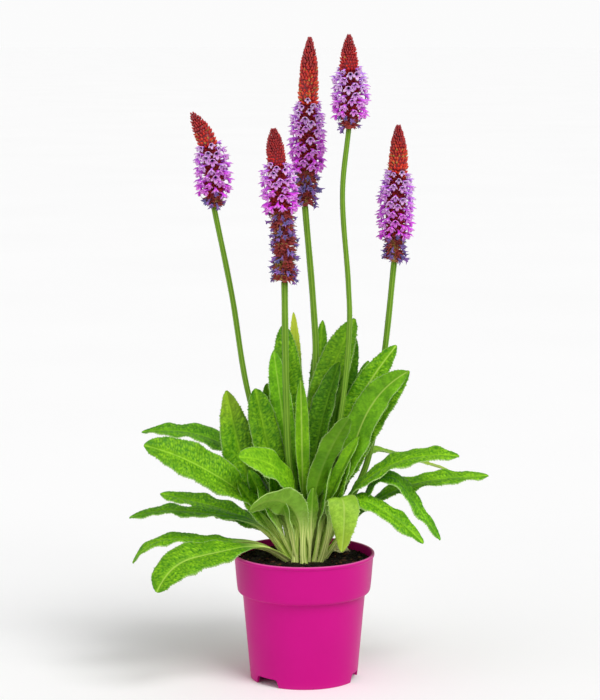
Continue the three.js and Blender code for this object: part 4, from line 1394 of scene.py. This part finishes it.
    def flowers(self) -> Skin:
        """Fills the open part with florets and their calyces.

        Returns:
            The skin.
        """
        skin = Skin(fields=("age", "back", "rim", "throat", "sepal"))
        draw, low, high = self.draw, self.plan.flowers_from, self.plan.buds_from
        widths = self.core_radius + np.linspace(0, 1.2, 12)
        # The stalk between the florets gets painted shade: the throat's near black under calyx red
        self.core(skin, low - 1, high + 1, widths, throat=1.0, sepal=0.6)
        count = round((high - low) / self.floret_step)
        for index in range(count):
            share = index / (count - 1)
            angle = index * self.golden_turn + draw.uniform(-0.12, 0.12)
            height = low + 1.5 + share * (high - low - 2.5) + draw.uniform(-0.9, 0.9)
            lean = math.radians(20 + 12 * share + draw.uniform(-9, 9))
            stance = self.stance(height + 1.5, angle, self.floret_root, lean)
            fresh = smooth((share - 0.72) / 0.28)
            short = 0.1 * smooth((share - 0.35) / 0.5) + 0.28 * fresh + 0.1 * (1 - smooth(share / 0.25))
            bend = 86 - 24 * share + draw.uniform(-14, 14)
            age = float(np.clip(1.0 + self.plan.ripeness - share * 1.15 + draw.uniform(-0.25, 0.25), 0, 1))
            self.husk(skin, stance, 0.95 - 0.15 * fresh, bend * 0.4, sepal=1.0)
            size = (1 - 0.3 * fresh) * draw.uniform(0.84, 1.06)
            self.floret(skin, stance, size, self.tube * (1 - short) * draw.uniform(0.9, 1.05), bend, age)
            # A lower calyx of its own closes the head between the florets
            lower = self.stance(height - 1.8, angle + 0.4, 2.4, math.atan(0.35))
            self.husk(skin, lower, 0.9, 15, sepal=1.0)
        return skin

    def floret(self, skin: Skin, stance: Stance, size: float, tube: float, bend: float, age: float) -> None:
        """Adds a nodding floret: a tube that bends down and opens to five pointed lobes, the upper hooded.

        Args:
            skin: Where it goes.
            stance: Where it starts and which way.
            size: The limb's size, where 1 is 8 mm across.
            tube: The tube's length.
            bend: How far the tube turns, in degrees.
            age: How far it has faded, 0 to 1.
        """
        tip, shoulder, base, notch = self.lobe_sizes
        upness = 0.5 + 0.5 * np.cos(turns(30))
        spread = (np.tile([notch, base, shoulder, tip, shoulder, base], 5) - self.mouth) * size
        spread = spread * (1.08 - 0.2 * upness)
        open_by = np.radians(32 + 27 * upness)
        # Each ring: share of the lobe, plain radius, how far past the mouth, back, rim, throat shade
        # (painted shade down the throat)
        lobe, girth, past, back, rim, throat = np.array((
            (0.0, 0.75, -tube, 1.0, 0.0, 0.0), (0.0, 0.9, -1.8, 1.0, 0.0, 0.0),
            (0.05, 1.35, -0.2, 1.0, 0.0, 0.0), (0.55, 1.6, -0.1, 1.0, 0.05, 0.0),
            (1.0, 1.2, 0.0, 0.3, 1.0, 0.0), (0.6, 1.25, 0.1, 0.0, 0.4, 0.0),
            (0.08, 1.1, 0.0, 0.0, 0.0, 0.5), (0.0, 0.8, -1.0, 0.0, 0.0, 1.0),
            (0.0, 0.5, -2.8, 0.0, 0.0, 1.0),
        )).T[..., None]
        plain = np.where(lobe > 0, self.mouth * size * girth / 1.2, girth)
        radius = plain + lobe * spread * np.cos(open_by)
        reach = tube + past + lobe * spread * np.sin(open_by)
        skin.sprout(stance, reach, radius, bend, back=back, rim=rim, throat=throat, age=age)

    def buds(self) -> Skin:
        """Covers the cone at the top with closed calyces, smaller and steeper towards its tip.

        Returns:
            The skin.
        """
        skin = Skin(fields=("rise", "span", "bract", "warm"))
        plan, draw = self.plan, self.draw
        low, top = plan.buds_from, plan.head[-1][2]
        climb = np.linspace(0, 1, 22)
        widths = np.minimum(np.maximum(plan.cone(climb) - 1.5, 0.5), 4.4 + climb * 30)
        # The stalk between the buds takes the painted shade colour
        self.core(skin, low - 1.5, top - 1.2, widths, rise=0.9, span=0.0)
        shares = np.array([0.1, 0.42, 0.76, 1.0])[:, None]
        girths = np.array([0.8, 1.02, 0.6, 0.06])[:, None]
        ridged = 1 + 0.1 * np.cos(np.arange(8) * math.pi)[None, :]
        height, row = low - 0.8, 0
        while height < top - 1.0:
            rise = max((height - low) / (top - low), 0.0)
            cone = plan.cone(rise)
            ripe = rise + (1 - rise) * 0.6 * (1 - plan.bud_warmth)
            length = (2.6 + 2.9 * (1 - rise) ** 0.8) * (0.4 + 0.6 * plan.bud_size)
            girth = (0.7 + 0.85 * (1 - rise) ** 0.9) * plan.bud_size
            round_here = max(round(TURN * (cone + 0.6) * self.bud_crowding / (girth * 2)), 5)
            for index in range(round_here):
                angle = (index + 0.5 * (row % 2) + draw.uniform(-0.18, 0.18)) / round_here * TURN
                lean = math.radians(22 + 46 * rise + draw.uniform(-10, 10))
                centre, out, along = self.frame(height + draw.uniform(-0.5, 0.5), angle)
                stand = cone * draw.uniform(0.93, 1.05)
                root = centre + out * max(stand - length * math.cos(lean) * 0.9, 0.2)
                warm = draw.uniform(0.15, 1) * (1 - 0.5 * rise) * plan.bud_warmth
                shown = ripe + draw.uniform(-0.25, 0.25) + 0.12 * math.sin(angle * 2 + row)
                look = {"rise": float(np.clip(shown, 0, 1)), "span": shares, "warm": warm}
                around = girths * girth * draw.uniform(0.85, 1.12) * ridged
                skin.sprout(leaning(root, out, along, lean), shares * length, around, -16.0, **look)
                if 0.04 < rise < 0.66 and draw.random() < 0.5 * plan.bud_warmth ** 2:
                    stance = leaning(centre + out * (stand - 3.1) - along * 1.2, out, along, lean)
                    look = {"rise": rise, "span": 1.0, "bract": draw.uniform(0.75, 1.0)}
                    skin.sprout(stance, shares * 4.7, girths * 0.9 * flat_ring(0.5), -12.0, **look)
            height += (1.9 + 1.5 * (1 - rise)) * (0.25 + 0.75 * plan.bud_size)
            row += 1
        # A few tight scales close the tip
        shares = np.array([0.0, 0.3, 0.7, 1.0])[:, None]
        girths = np.array([0.9, 1.0, 0.6, 0.08])[:, None] + np.zeros((1, 8))
        for turn in turns(5):
            centre, out, along = self.frame(top - 3.2, turn)
            stance = leaning(centre + out * 0.6, along, out, math.atan(0.12))
            skin.sprout(stance, shares * 3.4, girths * 0.8, 4.0, rise=1.0, span=shares)
        return skin


@dataclass
class FlowerSpikes:
    """The five spikes: a downy stem and a head each."""

    stem_sides: int = 28
    hair: float = 1.1
    hairs_a_stem: int = 700

    def build(self) -> None:
        """Builds every spike's four pieces."""
        stalk, bloom = DownyStalk().build(), VelvetFloret().build()
        bud, spent = WaxyBud().build(), SpentFloret().build()
        for number, plan in enumerate(SPIKES, 1):
            head = FlowerHead(plan, np.random.default_rng(700 + number))
            parts = (
                (self.stem(plan), "stem", stalk, "stem", f"stem_{number}"),
                (head.spent(), "spent_florets", spent, "faded", f"spike_{number}_faded"),
                (head.flowers(), "open_florets", bloom, "flower", f"spike_{number}_flowers"),
                (head.buds(), "bud_cone", bud, "bud", f"spike_{number}_buds"),
            )
            for skin, name, material, slot, node in parts:
                hand_over(skin.mesh(f"{name}_{number}"), material, slot, node)

    def stem(self, plan: SpikePlan) -> Skin:
        """Sweeps a ridged tube up the stem's route, with down on it.

        Args:
            plan: The spike.

        Returns:
            The stem's skin.
        """
        line = curve_through(plan.stem, 90)
        way = unit(np.gradient(line, axis=0))
        side = unit(np.cross(way, np.array([0.0, 1.0, 0.0])))
        back = np.cross(way, side)
        turn = turns(self.stem_sides)
        height = line[:, 2:]
        ridge = 0.5 + 0.5 * np.cos(7 * turn + 0.9 * np.sin(height / 40))
        share = np.linspace(0, 1, len(line))[:, None]
        radius = plan.stem_radius * plan.stem_scale * (1.0 - 0.05 * share) * (0.95 + 0.07 * ridge)
        radius = radius * (1 + 0.02 * np.sin(height / 7 + plan.stem_radius))
        ring = side[:, None] * np.cos(turn)[:, None] + back[:, None] * np.sin(turn)[:, None]
        points = line[:, None] + radius[..., None] * ring
        skin = Skin(fields=("ridge", "foot"))
        skin.tube(points, ridge=ridge, foot=1 - smooth((height - 112) / 45))
        draw = np.random.default_rng(round(plan.stem_radius * 50))
        at = draw.integers(20, len(line), self.hairs_a_stem)
        place = draw.integers(0, self.stem_sides, self.hairs_a_stem)
        out = unit(points[at, place] - line[at])
        ways = unit(out + 0.5 * draw.uniform(-1, 1, out.shape))
        skin.down(points[at, place], ways, self.hair, ridge=1.0)
        return skin


# Scene


@dataclass
class Studio:
    """The floor, the lights and the camera."""

    eye: tuple[float, float, float] = (0.0, -2.0, 0.559)
    pitch: float = 82.08
    lens: float = 123.84
    shift: float = -3.9 / 700

    def camera(self) -> None:
        """Places the camera where the photograph was taken from."""
        data = bpy.data.cameras.new("camera")
        data.sensor_fit = "VERTICAL"
        data.sensor_height = 36.0
        data.lens = self.lens
        data.shift_x = self.shift
        data.clip_end = 200.0
        camera = put("camera", data)
        camera.location = self.eye
        camera.rotation_euler = (math.radians(self.pitch), 0.0, 0.0)
        bpy.context.scene.camera = camera

    def sun(self, name: str, height: float, heading: float, spread: float, strength: float) -> None:
        """Adds a wide, soft light from far away.

        Args:
            name: The light's name.
            height: How high it stands, in degrees.
            heading: How far it stands to the right of the camera, in degrees.
            spread: How wide it looks, in degrees.
            strength: Its strength.
        """
        data = bpy.data.lights.new(name, "SUN")
        data.angle = math.radians(spread)
        data.energy = strength
        level, turn = math.cos(math.radians(height)), math.radians(heading)
        place = Vector((level * math.sin(turn), -level * math.cos(turn), math.sin(math.radians(height))))
        put(name, data).rotation_euler = place.to_track_quat("Z", "Y").to_euler()

    def floor(self) -> None:
        """Lays the matt white floor."""
        skin = Skin()
        skin.tube(lathe(np.array([0.02, 400, 2500, 40000])[:, None], -0.02, 64), closed=False)
        mesh = skin.mesh("studio_floor")
        mesh.flip_normals()
        mesh.materials.append(MattFloor().build())
        put("studio_floor", mesh)

    def build(self) -> None:
        """Builds the floor, the world, the lights and the camera."""
        self.floor()
        world = bpy.data.worlds.new("studio")
        world.use_nodes = True
        world.node_tree.nodes.clear()
        add = partial(add_node, world.node_tree)
        seen = add("LightPath", output="Is Camera Ray")
        strength = add("MapRange", None, {0: seen, 3: 0.47, 4: 0.968})
        light = add("Background", None, {"Color": "#ffffff", "Strength": strength})
        add("OutputWorld", None, {0: light})
        bpy.context.scene.world = world
        bpy.context.scene.view_settings.view_transform = "Standard"
        self.sun("key", 50.0, 38.0, 35.0, 1.95)
        self.sun("fill", 30.0, -55.0, 60.0, 0.45)
        self.camera()


def main() -> None:
    """Builds every sub-assembly in order."""
    logging.basicConfig(level=logging.INFO, format="%(message)s")
    parts = (NurseryPot(), PeatFill(), Rootstock(), WitheredScrap(), Rosette(), FlowerSpikes(), Studio())
    for part in parts:
        part.build()
        LOG.info("%s done", type(part).__name__)


if __name__ == "__main__":
    main()
